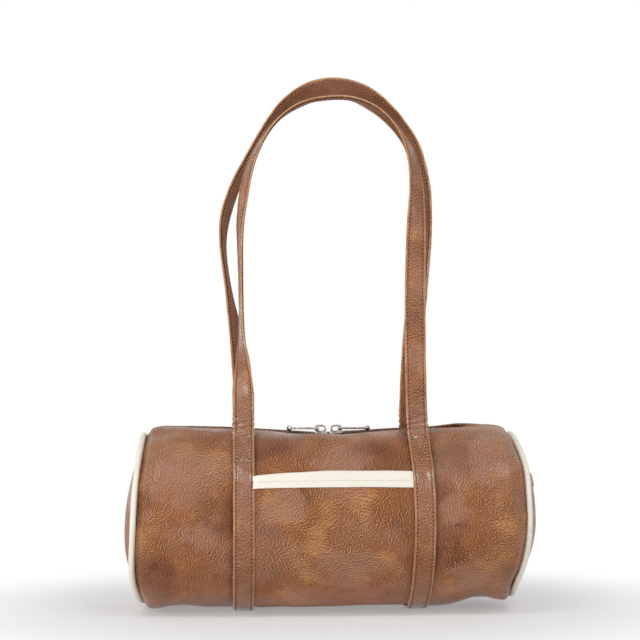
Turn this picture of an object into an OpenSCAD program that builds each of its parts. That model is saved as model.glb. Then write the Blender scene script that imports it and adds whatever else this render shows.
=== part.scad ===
// Soft cylindrical shoulder bag: a leather barrel with round piped ends, a zip with two
// sliders along the top, a flat pocket on the front, a slip pocket on the right end,
// and two long shoulder straps that wrap under the barrel and carry its weight.
// X runs along the barrel, the front faces -Y and Z is up; the bag stands on z = 0.

/* [Barrel] */
// Length of the barrel from end seam to end seam
barrel_len = 330; // [280:1:420]
// Outer radius of the barrel
barrel_r = 81; // [70:1:100]
// Radius of the edge that rolls in at each end
edge_r = 20; // [16:1:26]
// How far the end seam lies inside the barrel's outer radius
seam_in = 10; // [8:0.5:14]
// How far each end panel swells out past its seam
end_bulge = 11; // [6:0.5:18]
// Half the width of the flattened base
base_half = 27; // [15:1:35]
// How far the top sinks between the two ends
top_dip = 8.7; // [4:0.1:14]

/* [Leather and lining] */
// Thickness of the body leather
leather_t = 1.6; // [1:0.1:2.4]
// Thickness of the pocket leather
pocket_t = 1; // [0.8:0.1:1.8]
// Thickness of the lining cloth
lining_t = 0.8; // [0.4:0.1:1.2]
// Thickness of the stiffener in each end
end_board_t = 1; // [0.6:0.1:2]
// Thickness of the base board
base_board_t = 2; // [1:0.1:3]
// Play between two layers that are sewn together
layer_gap = 0.2; // [0.1:0.05:0.3]

/* [Piping] */
// Radius of the piping round each end
piping_r = 2.9; // [2:0.1:3.5]
// Depth of the bound seam allowance inside
binding_w = 8; // [5:0.5:12]
// Thickness of the bound seam allowance
binding_t = 1; // [0.6:0.1:1.4]

/* [Straps] */
// Width of a strap
strap_w = 18; // [14:0.5:28]
// Thickness of a strap
strap_t = 2.6; // [2.2:0.1:4]
// Distance between the two straps' centre lines
strap_gap = 148; // [120:1:180]
// Angle up the barrel at which a strap leaves it
strap_leave_angle = 64; // [55:1:70]
// Width of the webbing on a handle's inner face
webbing_w = 12; // [8:0.5:14]
// Thickness of the webbing
webbing_t = 0.9; // [0.6:0.1:1.2]
// Play between a strap's leather and its webbing
webbing_gap = 0.5; // [0.4:0.05:0.7]
// Height of the handle loops above the barrel
handle_rise = 298; // [200:1:360]
// Distance of the front loop's top from the middle of the bag
front_top_y = 8; // [6.5:0.1:14]
// Distance of the rear loop's top from the middle of the bag
rear_top_y = 6; // [4:0.1:12]
// Play between a handle's foot and the strap below it
foot_gap = 0.4; // [0.3:0.05:0.8]

/* [Front pocket] */
// Width of the trim band over the pocket's mouth
trim_w = 16; // [10:0.5:22]
// Thickness of the trim band's fold on each side
trim_t = 0.8; // [0.6:0.1:1.4]
// Angle up the barrel of the pocket's mouth
pocket_mouth_angle = 34; // [20:1:45]
// Angle down the barrel of the pocket's foot
pocket_foot_angle = 60; // [40:1:64]

/* [End pocket] */
// Height of the slip pocket's mouth above the barrel's centre
slip_mouth = 37; // [20:1:50]
// Width of the hem along the slip pocket's mouth
slip_hem_w = 9; // [6:0.5:14]
// Thickness of the hem
slip_hem_t = 1; // [0.6:0.1:1.6]

/* [Inner pocket] */
// Width of the pocket inside
inner_pocket_w = 150; // [80:1:200]
// Angle up the rear wall of the inner pocket's mouth
inner_mouth_angle = 28; // [10:1:40]
// Angle down the rear wall of the inner pocket's foot
inner_foot_angle = 30; // [10:1:45]

/* [Zip] */
// How far the zip stops short of each end seam
zip_in = 29; // [20:1:60]
// Width of the gap between the two folded leather edges
zip_gap = 22; // [14:0.5:28]
// How far each tape runs on under the leather
tape_under = 4; // [2:0.5:8]
// Thickness of the tape
tape_t = 0.6; // [0.4:0.1:0.9]
// Width of one row of the coil
coil_w = 2.5; // [1.5:0.1:4]
// Thickness of the coil
coil_t = 2.2; // [1.6:0.1:3]
// Gap between the two rows, where the sliders' necks run
coil_gap = 1.8; // [1.4:0.1:3]
// Length of the leather tab over each end of the zip
zip_tab_len = 12; // [8:0.5:20]

/* [Sliders] */
// Length of a slider's plates
slider_len = 12; // [9:0.5:16]
// Width of a slider's plates
slider_w = 9.2; // [8.6:0.1:12]
// Thickness of a slider's plates
plate_t = 1.2; // [0.8:0.1:1.8]
// Thickness of the neck between the plates
neck_t = 1.2; // [0.8:0.1:1.3]
// Distance of each slider from the middle
slider_off = 1.2; // [0.5:0.1:5]
// Running play between a slider and the zip
zip_play = 0.3; // [0.3:0.05:0.6]
// Length of the bridge on a slider
bridge_len = 10.4; // [9:0.1:12]
// Height of the bridge on a slider
bridge_h = 6.6; // [5.5:0.1:9]
// Thickness of the bridge seen from above
bridge_w = 2.2; // [1.6:0.1:3]
// Width of the bridge's bow seen from the side
bow_w = 1.6; // [1.2:0.1:2]

/* [Pullers] */
// Length of a puller from its bar to its tip
puller_len = 27; // [22:0.5:40]
// Angle that a resting puller leans down from the line of the zip
puller_lean_angle = 2.8; // [0:0.2:3.2]
// Radius of the bar that turns in the bridge
bar_r = 0.9; // [0.6:0.1:1.1]
// Play of the bar in the bridge
bar_play = 0.25; // [0.15:0.05:0.4]
// Thickness of a puller
puller_t = 1.7; // [1.2:0.1:2]
// Width of each of a puller's two arms
arm_w = 1.5; // [1.2:0.1:2.2]
// Length of a puller's open arms
arm_len = 9; // [8.5:0.1:12]
// Radius of the knob at a puller's tip
knob_r = 2.4; // [1.8:0.1:3.5]
// Radius of the hole in a puller's plate
puller_hole_r = 1.4; // [0.8:0.1:1.8]

/* [Hidden] */
$fn = 96;
overrun = 1;
strap_x = strap_gap / 2;
band_r = barrel_r + layer_gap;
base_drop = sqrt(barrel_r * barrel_r - base_half * base_half);
base_z = strap_t + layer_gap;
axis_z = base_z + base_drop;
wide = 3 * barrel_r;

// The rolled edge is a circle in the barrel's section that meets the seam
seam_x = barrel_len / 2;
seam_r = barrel_r - seam_in;
rim_in = 1;
edge_c = barrel_r - edge_r;
panel_x = seam_x - piping_r - layer_gap;
rim_r = seam_r - rim_in;
edge_x = panel_x - sqrt(edge_r * edge_r - pow(rim_r - edge_c, 2));

// The end panel is a cap of a ball that passes through the seam
end_rim_r = seam_r - piping_r - layer_gap;
dome_r = (end_rim_r * end_rim_r + end_bulge * end_bulge) / (2 * end_bulge);
dome_x = seam_x + end_bulge - dome_r;

// The top is two flat slopes, and the zip lies in them
zip_half = seam_x - zip_in;
slot_half = zip_gap / 2;
zip_end_drop = barrel_r - sqrt(barrel_r * barrel_r - slot_half * slot_half);
dip_angle = atan((top_dip - zip_end_drop) / zip_half);
dip_z = axis_z + barrel_r - top_dip;
under_leather = leather_t + layer_gap;
tape_half = slot_half + tape_under;
coil_in = coil_gap / 2;
coil_out = coil_in + coil_w;
coil_top = under_leather + tape_t / 2 - coil_t / 2;

// Heights in a slider, measured from the leather's outer face
plate_top = -coil_top + zip_play + plate_t;
plate_low = -coil_top - coil_t - zip_play;
flange_z = -under_leather + zip_play;
bridge_x = slider_off + (slider_len - bridge_len) / 2;
bow_r = bridge_h / 2;
bar_x = bridge_x + bridge_len - bow_w - bar_play - bar_r;
bar_z = plate_top + bridge_h / 2;
arm_in = bridge_w / 2 + bar_play;
arm_out = arm_in + arm_w;
boss_r = bar_r + puller_t / 3;

// The handle hinges on the line where its strap leaves the barrel
foot_r = band_r + strap_t + foot_gap + strap_t / 2;
foot_y = foot_r * cos(strap_leave_angle);
foot_z = axis_z + foot_r * sin(strap_leave_angle);
ring_steps = 8;

// The foot's end is rounded: shares of half the strap's thickness, down and across
foot_shares = [[1, 0.4], [0.4, 1]];

// Each loop's knots, left to right: shares of half the strap spacing and of the rise,
// then the twist of the strap away from facing the front or the rear
front_shares = [
    [-1, 0, 0], [-1, 0.09, 4], [-1.005, 0.18, 48], [-1.02, 0.28, 80], [-1.03, 0.44, 84],
    [-1.035, 0.57, 76], [-0.995, 0.67, 66], [-0.91, 0.765, 72], [-0.76, 0.845, 82],
    [-0.56, 0.905, 88], [-0.3, 0.945, 90], [0, 0.96, 90], [0.28, 0.958, 90],
    [0.56, 0.93, 88], [0.8, 0.875, 78], [0.95, 0.8, 62], [1.01, 0.7, 45],
    [1.005, 0.58, 20], [0.99, 0.42, 4], [0.985, 0.25, 0], [0.99, 0.1, 0], [1, 0, 0]
];
rear_shares = [
    [-1, 0, 0], [-1, 0.08, 4], [-1.01, 0.17, 22], [-1.08, 0.285, 52], [-1.17, 0.41, 76],
    [-1.23, 0.53, 76], [-1.2, 0.62, 61], [-1.08, 0.71, 62], [-0.93, 0.785, 66],
    [-0.76, 0.86, 68], [-0.58, 0.92, 58], [-0.36, 0.963, 32], [-0.12, 0.99, 10],
    [0.12, 0.996, 2], [0.36, 0.982, 10], [0.6, 0.945, 32], [0.82, 0.892, 48],
    [1.01, 0.82, 49], [1.12, 0.71, 41], [1.14, 0.58, 34], [1.1, 0.44, 24],
    [1.04, 0.27, 6], [1.01, 0.12, 0], [1, 0, 0]
];

leather_color = [0.6, 0.42, 0.32];
edge_color = [0.68, 0.5, 0.38];
trim_color = [0.95, 0.92, 0.85];
lining_color = [0.45, 0.36, 0.3];
webbing_color = [0.42, 0.3, 0.22];
tape_color = [0.24, 0.13, 0.11];
board_color = [0.75, 0.7, 0.62];
metal_color = [0.78, 0.78, 0.8];

// Height of the sunken top at a distance along the barrel
function top_at(x) = dip_z + abs(x) * tan(dip_angle);
function level(inset) = inset / cos(dip_angle);

// Shapes of the barrel

// Half section of the barrel, drawn with the radius across and the length up
module barrel_section(inset, end) {
    intersection() {
        union() {
            translate([0, -edge_x]) square([barrel_r - inset, 2 * edge_x]);
            translate([0, -edge_x - edge_r + inset])
                square([edge_c, 2 * (edge_x + edge_r - inset)]);
            for (side = [-1, 1]) translate([edge_c, side * edge_x]) circle(edge_r - inset);
        }
        translate([0, -end]) square([barrel_r, 2 * end]);
    }
}

// The space under the two slopes of the top and above the flattened base
module slopes(inset) {
    rotate([90, 0, 0]) linear_extrude(wide, center = true) polygon([
        [-seam_x, base_z + inset],
        [seam_x, base_z + inset],
        [seam_x, top_at(seam_x) - level(inset)],
        [0, dip_z - level(inset)],
        [-seam_x, top_at(seam_x) - level(inset)]
    ]);
}

module barrel_solid(inset, end) {
    intersection() {
        translate([0, 0, axis_z]) rotate([0, 90, 0]) rotate_extrude()
            barrel_section(inset, end);
        slopes(inset);
    }
}

// A closed skin that follows the barrel, open at both ends and along the zip
module barrel_skin(inset, thick, mouth_half) {
    end = min(panel_x, edge_x + edge_r - inset - thick - layer_gap);
    difference() {
        barrel_solid(inset, end);
        barrel_solid(inset + thick, seam_x);
        translate([-zip_half, -mouth_half, axis_z]) cube([2 * zip_half, 2 * mouth_half, barrel_r]);
    }
}

// A cap that follows the swell of an end, from one depth under the leather to another,
// as far as the drawing of its outline reaches
module end_cap(outer, inner) {
    difference() {
        intersection() {
            translate([dome_x, 0, axis_z]) sphere(dome_r - outer);
            across(seam_x / 2, seam_x + 2 * end_bulge) children();
        }
        translate([dome_x, 0, axis_z]) sphere(dome_r - inner);
    }
}

// Extrudes a drawing of the barrel's cross section from one place along X to another
module across(from, to) {
    translate([from, 0, axis_z]) rotate([90, 0, 90]) linear_extrude(to - from) children();
}

// Part of a ring round the barrel, front side, between two angles above the horizontal
module front_arc(inner, outer, low, high) {
    intersection() {
        difference() {
            circle(outer);
            circle(inner);
        }
        polygon([[0, 0], wide * [-cos(low), sin(low)], wide * [-cos(high), sin(high)]]);
    }
}

// Both ends are mirror images
module on_side(side) {
    mirror([side < 0 ? 1 : 0, 0, 0]) children();
}

// Body

module body_panel() {
    color(leather_color) barrel_skin(0, leather_t, slot_half);
}

module end_panel(side) {
    color(leather_color) on_side(side) end_cap(0, leather_t) circle(end_rim_r);
}

module piping(side) {
    color(trim_color) on_side(side) translate([seam_x, 0, axis_z]) rotate([0, 90, 0])
        rotate_extrude() translate([seam_r, 0]) circle(piping_r);
}

module seam_binding(side) {
    binding_r = end_rim_r;
    color(lining_color) on_side(side) translate([panel_x + layer_gap, 0, axis_z])
        rotate([0, 90, 0]) difference() {
            cylinder(h = binding_t, r = binding_r);
            translate([0, 0, -overrun])
                cylinder(h = binding_t + 2 * overrun, r = binding_r - binding_w);
        }
}

module end_stiffener(side) {
    depth = leather_t + layer_gap;
    color(board_color) on_side(side)
        end_cap(depth, depth + end_board_t) circle(end_rim_r - binding_w);
}

module base_board() {
    board_z = base_z + leather_t + lining_t + 2 * layer_gap;
    board_r = barrel_r - leather_t - lining_t - 2 * layer_gap;
    board_half = sqrt(board_r * board_r - pow(axis_z - board_z, 2)) - layer_gap;
    color(board_color) translate([-edge_x, -board_half, board_z])
        cube([2 * edge_x, 2 * board_half, base_board_t]);
}

// Lining

module lining_body() {
    color(lining_color)
        barrel_skin(under_leather, lining_t, tape_half + layer_gap);
}

module lining_end(side) {
    depth = leather_t + end_board_t + 2 * layer_gap;
    color(lining_color) on_side(side)
        end_cap(depth, depth + lining_t) circle(end_rim_r - binding_w);
}

module inner_pocket() {
    outer = barrel_r - leather_t - lining_t - 2 * layer_gap;
    half = inner_pocket_w / 2;
    color(lining_color) mirror([0, 1, 0]) across(-half, half)
        front_arc(outer - lining_t, outer, -inner_foot_angle, inner_mouth_angle);
}

// Straps on the barrel

module strap_band(side) {
    outer = band_r + strap_t;
    color(edge_color) on_side(side) across(strap_x - strap_w / 2, strap_x + strap_w / 2)
        difference() {
            intersection() {
                circle(outer);
                translate([-outer, -axis_z]) square([2 * outer, 2 * outer]);
            }
            intersection() {
                circle(band_r);
                translate([-outer, -axis_z + strap_t]) square([2 * outer, 2 * outer]);
            }
            polygon([
                [0, 0],
                wide * [-cos(strap_leave_angle), sin(strap_leave_angle)],
                wide * [cos(strap_leave_angle), sin(strap_leave_angle)]
            ]);
        }
}

// Front pocket

pocket_half = strap_x - strap_w / 2 - layer_gap;
pocket_in = band_r + lining_t + trim_t + 2 * layer_gap;
pocket_out = pocket_in + pocket_t;
trim_angle = trim_w / pocket_out * 180 / PI;
fold_angle = trim_t / pocket_out * 180 / PI;
gap_angle = layer_gap / pocket_out * 180 / PI;
panel_top = pocket_mouth_angle - fold_angle - gap_angle;

module front_pocket_lining() {
    color(lining_color) across(-pocket_half, pocket_half)
        front_arc(band_r, band_r + lining_t, -pocket_foot_angle, panel_top);
}

module front_pocket_panel() {
    color(leather_color) across(-pocket_half, pocket_half)
        front_arc(pocket_in, pocket_out, -pocket_foot_angle, panel_top);
}

// The trim is folded over the panel's upper edge
module front_pocket_trim() {
    inside = pocket_in - layer_gap;
    outside = pocket_out + layer_gap;
    color(trim_color) across(-pocket_half, pocket_half) difference() {
        front_arc(
            inside - trim_t, outside + trim_t, pocket_mouth_angle - trim_angle, pocket_mouth_angle
        );
        front_arc(inside, outside, -pocket_foot_angle, panel_top + gap_angle);
    }
}

// End pocket, on the right end

slip_r = end_rim_r - piping_r / 2;

// The part of the end's round outline between two heights
module slip_outline(low, high) {
    intersection() {
        circle(slip_r);
        translate([-slip_r, low]) square([2 * slip_r, high - low]);
    }
}

module end_pocket_panel() {
    color(leather_color) end_cap(-layer_gap - pocket_t, -layer_gap)
        slip_outline(-slip_r, slip_mouth);
}

module end_pocket_hem() {
    face = layer_gap + pocket_t;
    color(edge_color) end_cap(-face - layer_gap - slip_hem_t, -face - layer_gap)
        slip_outline(slip_mouth - slip_hem_w, slip_mouth);
}

// Zip

// A strip that follows both slopes, at a depth under the leather's face
module zip_strip(half_len, near, far, depth, thick) {
    translate([0, far, 0]) rotate([90, 0, 0]) linear_extrude(far - near) polygon([
        [-half_len, top_at(half_len) - level(depth)],
        [0, dip_z - level(depth)],
        [half_len, top_at(half_len) - level(depth)],
        [half_len, top_at(half_len) - level(depth + thick)],
        [0, dip_z - level(depth + thick)],
        [-half_len, top_at(half_len) - level(depth + thick)]
    ]);
}

// A tape follows the inside of the body panel, also where that turns round
module zip_tape(near, far) {
    tape_x = zip_half - layer_gap;
    color(tape_color) intersection() {
        difference() {
            barrel_solid(under_leather, edge_x);
            barrel_solid(under_leather + tape_t, seam_x);
        }
        translate([-tape_x, near, axis_z]) cube([2 * tape_x, far - near, barrel_r]);
    }
}

module zip_tape_front() {
    zip_tape(-tape_half, -coil_out - layer_gap);
}

module zip_tape_rear() {
    zip_tape(coil_out + layer_gap, tape_half);
}

module zip_coil_front() {
    color(tape_color) zip_strip(
        zip_half - zip_tab_len - zip_play, -coil_out, -coil_in, coil_top, coil_t
    );
}

module zip_coil_rear() {
    color(tape_color) zip_strip(
        zip_half - zip_tab_len - zip_play, coil_in, coil_out, coil_top, coil_t
    );
}

// Places a shape in the slope of one side, with X along the zip and Z off the leather
module on_slope(side) {
    translate([0, 0, dip_z]) on_side(side) rotate([0, -dip_angle, 0]) children();
}

module zip_end_tab(side) {
    half = slot_half - layer_gap;
    tab_end = zip_half / cos(dip_angle) - layer_gap;
    color(leather_color) on_slope(side)
        translate([tab_end - zip_tab_len, -half, -under_leather + layer_gap / 2])
            cube([zip_tab_len, 2 * half, leather_t]);
}

// Sliders and pullers, drawn for the right side

module plate_outline() {
    round_r = slider_w / 2;
    translate([slider_off, -round_r]) square([slider_len - round_r, slider_w]);
    translate([slider_off + slider_len - round_r, 0]) circle(round_r);
}

module bridge_outline(shrink) {
    low = bow_r - shrink;
    translate([bridge_x + bow_r, bow_r]) circle(low);
    translate([bridge_x + bridge_len - bow_r, bow_r]) circle(low);
    translate([bridge_x + bow_r, bow_r - low]) square([bridge_len - 2 * bow_r, 2 * low]);
}

module slider(side) {
    neck_len = slider_len / 3;
    flange_w = slider_w / 2 - coil_out - zip_play;
    color(metal_color) on_slope(side) {
        translate([0, 0, plate_top - plate_t]) linear_extrude(plate_t) plate_outline();
        translate([0, 0, plate_low - plate_t]) linear_extrude(plate_t) plate_outline();
        translate([slider_off, -neck_t / 2, plate_low - plate_t / 2])
            cube([neck_len, neck_t, plate_top - plate_low]);
        for (edge = [-1, 1]) translate([
            slider_off,
            edge > 0 ? slider_w / 2 - flange_w : -slider_w / 2,
            flange_z
        ]) cube([slider_len / 2, flange_w, plate_top - plate_t / 2 - flange_z]);
        translate([0, bridge_w / 2, plate_top]) rotate([90, 0, 0]) linear_extrude(bridge_w)
            difference() {
                bridge_outline(0);
                bridge_outline(bow_w);
            }
        translate([bridge_x + bow_r, -bridge_w / 2, plate_top - plate_t / 2])
            cube([bridge_len - 2 * bow_r, bridge_w, plate_t]);
    }
}

module puller(side) {
    knob_x = puller_len - knob_r;
    color(metal_color) on_slope(side) translate([bar_x, 0, bar_z]) rotate([0, puller_lean_angle, 0]) {
        rotate([90, 0, 0]) cylinder(h = 2 * arm_out, r = bar_r, center = true);
        for (edge = [-1, 1]) translate([0, edge * (arm_in + arm_w / 2), 0]) {
            rotate([90, 0, 0]) cylinder(h = arm_w, r = boss_r, center = true);
            translate([0, -arm_w / 2, -puller_t / 2]) cube([arm_len, arm_w, puller_t]);
        }
        translate([0, 0, -puller_t / 2]) linear_extrude(puller_t) difference() {
            translate([arm_len - arm_w / 2, -arm_out])
                square([knob_x - arm_len + arm_w / 2, 2 * arm_out]);
            translate([(arm_len + knob_x) / 2, 0]) circle(puller_hole_r);
        }
        translate([knob_x, 0, 0]) sphere(knob_r);
        translate([knob_x, 0, 0]) rotate([90, 0, 0])
            cylinder(h = 2 * arm_out, r = puller_t / 2, center = true);
    }
}

// Handles

// A smooth curve through the knots, one stretch at a time
function curve_at(p, i, t) =
    let (a = p[max(i - 1, 0)], b = p[i], c = p[i + 1], d = p[min(i + 2, len(p) - 1)])
    0.5 * (2 * b + (c - a) * t + (2 * a - 5 * b + 4 * c - d) * t * t
        + (3 * b - a - 3 * c + d) * t * t * t);

function curve(p) = [
    for (i = [0 : len(p) - 2], k = [0 : ring_steps - 1]) curve_at(p, i, k / ring_steps),
    p[len(p) - 1]
];

function unit(v) = v / norm(v);

// A knot's place: the loop leans in from its foot to its top
function loop_knots(shares, face, top_y) = [
    for (s = shares) [
        s[0] * strap_x,
        -face * (foot_y + (top_y - foot_y) * s[1]),
        foot_z + s[1] * handle_rise,
        s[2]
    ]
];

function place(q) = [q[0], q[1], q[2]];

// The four corners of the strap at one point, moved along it by a step: its face turns
// from the front or rear towards the outside of the loop by the twist
function strap_ring(back, here, ahead, face, half, low, high, step = 0) =
    let (
        along = unit(place(ahead) - place(back)),
        out = unit([-along[2], 0, along[0]]),
        front = cross(along, out),
        n = face * cos(here[3]) * front + sin(here[3]) * out,
        w = cross(n, along),
        c = place(here) + step * along
    )
    [c - half * w + low * n, c + half * w + low * n,
     c + half * w + high * n, c - half * w + high * n];

// A strap swept along the loop, as faces between rings of four corners; a foot goes on
// past each end, and a strap without feet starts a few rings further up
module strap_sweep(shares, face, top_y, width, low, high, foot, left_off) {
    q = curve(loop_knots(shares, face, top_y));
    last = len(q) - 1;
    half = width / 2;
    rings = [
        for (s = foot)
            strap_ring(q[0], q[0], q[1], face, half, low, s[1] * high, -s[0] * high),
        for (i = [left_off : last - left_off]) strap_ring(
            q[max(i - 1, 0)], q[i], q[min(i + 1, last)], face, half, low, high
        ),
        for (i = [len(foot) - 1 : -1 : 0]) strap_ring(
            q[last - 1], q[last], q[last], face, half, low, foot[i][1] * high, foot[i][0] * high
        )
    ];
    end = 4 * (len(rings) - 1);
    sides = [
        for (a = [0 : 4 : end - 4], k = [0 : 3])
            let (b = a + k, c = a + (k + 1) % 4)
            each [[b, c, c + 4], [b, c + 4, b + 4]]
    ];
    polyhedron(
        [for (r = rings) each r],
        concat(sides, [[0, 3, 2], [0, 2, 1], [end, end + 1, end + 2], [end, end + 2, end + 3]])
    );
}

webbing_low = -strap_t / 2;
webbing_high = webbing_low + webbing_t;

module handle_leather(shares, face, top_y) {
    color(leather_color) strap_sweep(
        shares, face, top_y, strap_w, webbing_high + webbing_gap, strap_t / 2, foot_shares, 0
    );
}

module handle_webbing(shares, face, top_y) {
    color(webbing_color)
        strap_sweep(shares, face, top_y, webbing_w, webbing_low, webbing_high, [], 2);
}

body_panel();
end_panel(-1);  // end_panel_left
end_panel(1);  // end_panel_right
piping(-1);  // piping_left
piping(1);  // piping_right
seam_binding(-1);  // seam_binding_left
seam_binding(1);  // seam_binding_right
end_stiffener(-1);  // end_stiffener_left
end_stiffener(1);  // end_stiffener_right
base_board();
lining_body();
lining_end(-1);  // lining_end_left
lining_end(1);  // lining_end_right
inner_pocket();
strap_band(-1);  // strap_band_left
strap_band(1);  // strap_band_right
front_pocket_lining();
front_pocket_panel();
front_pocket_trim();
end_pocket_panel();
end_pocket_hem();
zip_tape_front();
zip_tape_rear();
zip_coil_front();
zip_coil_rear();
zip_end_tab(-1);  // zip_end_tab_left
zip_end_tab(1);  // zip_end_tab_right
slider(-1);  // slider_left
slider(1);  // slider_right
puller(-1);  // puller_left
puller(1);  // puller_right
handle_leather(front_shares, 1, front_top_y);  // handle_front
handle_webbing(front_shares, 1, front_top_y);  // handle_front_webbing
handle_leather(rear_shares, -1, rear_top_y);  // handle_rear
handle_webbing(rear_shares, -1, rear_top_y);  // handle_rear_webbing
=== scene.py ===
import math

import bmesh
import bpy
import numpy as np
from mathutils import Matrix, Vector


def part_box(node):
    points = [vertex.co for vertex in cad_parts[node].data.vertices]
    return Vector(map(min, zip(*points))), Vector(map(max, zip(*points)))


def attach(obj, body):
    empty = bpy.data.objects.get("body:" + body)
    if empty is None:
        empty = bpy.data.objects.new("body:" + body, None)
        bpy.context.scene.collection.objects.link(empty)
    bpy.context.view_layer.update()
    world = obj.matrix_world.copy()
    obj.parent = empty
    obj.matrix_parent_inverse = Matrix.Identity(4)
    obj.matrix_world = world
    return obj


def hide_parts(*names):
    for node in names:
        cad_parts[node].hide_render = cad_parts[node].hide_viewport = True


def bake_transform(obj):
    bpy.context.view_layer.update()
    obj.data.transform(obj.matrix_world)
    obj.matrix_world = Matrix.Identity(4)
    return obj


# Sizes are in millimetres and angles in radians until a mesh is made
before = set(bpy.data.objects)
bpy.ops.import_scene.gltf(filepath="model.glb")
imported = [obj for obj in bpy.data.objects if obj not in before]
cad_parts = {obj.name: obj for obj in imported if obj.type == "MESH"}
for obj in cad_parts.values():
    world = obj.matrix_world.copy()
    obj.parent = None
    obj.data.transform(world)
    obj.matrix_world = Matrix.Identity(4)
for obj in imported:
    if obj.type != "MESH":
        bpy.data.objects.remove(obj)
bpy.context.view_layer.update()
mm = 0.001
print("frame loaded")


def corners(node):
    # Lowest and highest corner of a CAD node, in millimetres
    low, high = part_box(node)
    return np.array(low) / mm, np.array(high) / mm


panelLow, panelHigh = corners("body_panel")
capLow, capHigh = corners("end_panel_left")
boardLow, boardHigh = corners("base_board")
bagSize = {
    "radius": panelHigh[1],
    "axis": (capLow[2] + capHigh[2]) / 2,
    "endRadius": (capHigh[2] - capLow[2]) / 2,
    "base": panelLow[2],
    "edgeRound": 20.0,
    "leather": 1.6,
    "seam": 165.0,  # from the middle to an end seam
    "strapX": 74.0,
    "strapWidth": 18.0,
}
radius = bagSize["radius"]
axis = bagSize["axis"]


# Numbers
def ramp(low, high, x):
    # Rises from 0 at low to 1 at high along a cubic s-curve
    t = np.clip((x - low) / (high - low), 0, 1)
    return t * t * (3 - 2 * t)


def bell(x, centre, width):
    # A bell curve of height 1
    return np.exp(-(((x - centre) / width) ** 2))


def ridge(x, shape):
    # A bell curve from its height, its place and its half width
    high, place, width = shape
    return high * bell(x, place, width)


def softMin(a, b, blend):
    # The smaller of two values, rounded over where they cross
    h = np.clip(blend - np.abs(a - b), 0, None) / blend
    return np.minimum(a, b) - h * h * blend / 4


def wander(points, size, seed, waves=18):
    # Sum of sines in random directions, each about size long: a smooth field around 0
    rng = np.random.default_rng(seed)
    directions = rng.normal(size=(waves, 3))
    directions /= np.linalg.norm(directions, axis=1)[:, None]
    directions /= size * rng.uniform(0.75, 1.6, size=(waves, 1))
    phases = rng.uniform(0, 2 * math.pi, size=waves)
    total = np.zeros(points.shape[:-1])
    for direction, phase in zip(directions, phases):
        total += np.sin(2 * math.pi * (points @ direction) + phase)
    return total / math.sqrt(waves)


def unit(v):
    # Each vector over its own length
    return v / np.maximum(np.linalg.norm(v, axis=-1, keepdims=True), 1e-9)


def stack(*parts):
    # Coordinates side by side, stretched to one shape
    return np.stack(np.broadcast_arrays(*parts), -1).astype(float)


def arcLength(path):
    # Distance along a path at each of its points: the sum of the steps before it
    steps = np.linalg.norm(np.diff(path, axis=0), axis=1)
    return np.concatenate([[0], np.cumsum(steps)])


def sampleAt(path, along, wanted):
    # Values of a path at the wanted distances along it
    return np.stack([np.interp(wanted, along, path[:, k]) for k in range(path.shape[1])], 1)


def smoothed(path, passes):
    # Each inner point moves to the average of itself and its neighbours, several times
    for _ in range(passes):
        path = np.concatenate([path[:1], (path[:-2] + 2 * path[1:-1] + path[2:]) / 4, path[-1:]])
    return path


def addObject(name, data):
    thing = bpy.data.objects.new(name, data)
    bpy.context.scene.collection.objects.link(thing)
    return thing


# Meshes


def newPiece():
    # Points, faces of four corners, the map at each corner, wear and painted shade at each point,
    # and the rings of points that close to one
    return {"points": [], "quads": [], "uv": [], "wear": [], "poles": [], "count": 0}


def addPoints(piece, points, wear=0.0):
    # Takes points into a piece and gives the number of the first one
    points = points.reshape(-1, 3)
    piece["points"].append(points)
    piece["wear"].append(np.broadcast_to(wear, points.shape[:1]).astype(float))
    first = piece["count"]
    piece["count"] += len(points)
    return first


def gridQuads(index, uv, wrapRows, wrapCols):
    # Four corners of every cell of a grid of point numbers, and of its map
    if wrapRows:
        index = np.concatenate([index, index[:1]])
    if wrapCols:
        index = np.concatenate([index, index[:, :1]], 1)
    cell = [(slice(None, -1), slice(None, -1)), (slice(None, -1), slice(1, None)),
            (slice(1, None), slice(1, None)), (slice(1, None), slice(None, -1))]
    quads = np.stack([index[c] for c in cell], -1).reshape(-1, 4)
    return quads, np.stack([uv[c] for c in cell], 2).reshape(-1, 4, 2)


def addQuads(piece, quads, uv, flip):
    # Takes faces into a piece, turned over if flip is set
    if flip:
        quads, uv = quads[:, ::-1], uv[:, ::-1]
    piece["quads"].append(quads)
    piece["uv"].append(uv)


rimAngles = [math.radians(a) for a in (35, 65, 90)]  # steps by which a sheet's border rounds over


def padRows(mid, half, tags, skipFirst):
    # Rounds the first and last row of a sheet over: each added row goes out by the sine of its
    # angle and thins by the cosine
    size = np.linalg.norm(half, axis=-1, keepdims=True)
    before, after = [], []
    for angle in rimAngles:
        for rows, k, inner in ((before, 0, 1), (after, -1, -2)):
            rows.append((
                mid[k] + unit(mid[k] - mid[inner]) * size[k] * math.sin(angle),
                half[k],
                tags["thin"][k] * math.cos(angle),
                tags["uv"][k] + unit(tags["uv"][k] - tags["uv"][inner]) * size[k] * math.sin(angle),
                np.maximum(tags["wear"][k], tags["rimWear"] * math.sin(angle)),
            ))
    before = [] if skipFirst else before[::-1]
    columns = (mid, half, tags["thin"], tags["uv"], tags["wear"])
    joined = [np.concatenate([r[k][None] for r in before] + [column] + [r[k][None] for r in after])
              for k, column in enumerate(columns)]
    return joined[0], joined[1], dict(tags, thin=joined[2], uv=joined[3], wear=joined[4])


def turned(mid, half, tags):
    # Rows and columns of a sheet swapped
    swap = {k: np.swapaxes(tags[k], 0, 1) for k in ("thin", "uv", "wear")}
    return np.swapaxes(mid, 0, 1), np.swapaxes(half, 0, 1), dict(tags, **swap)


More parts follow.
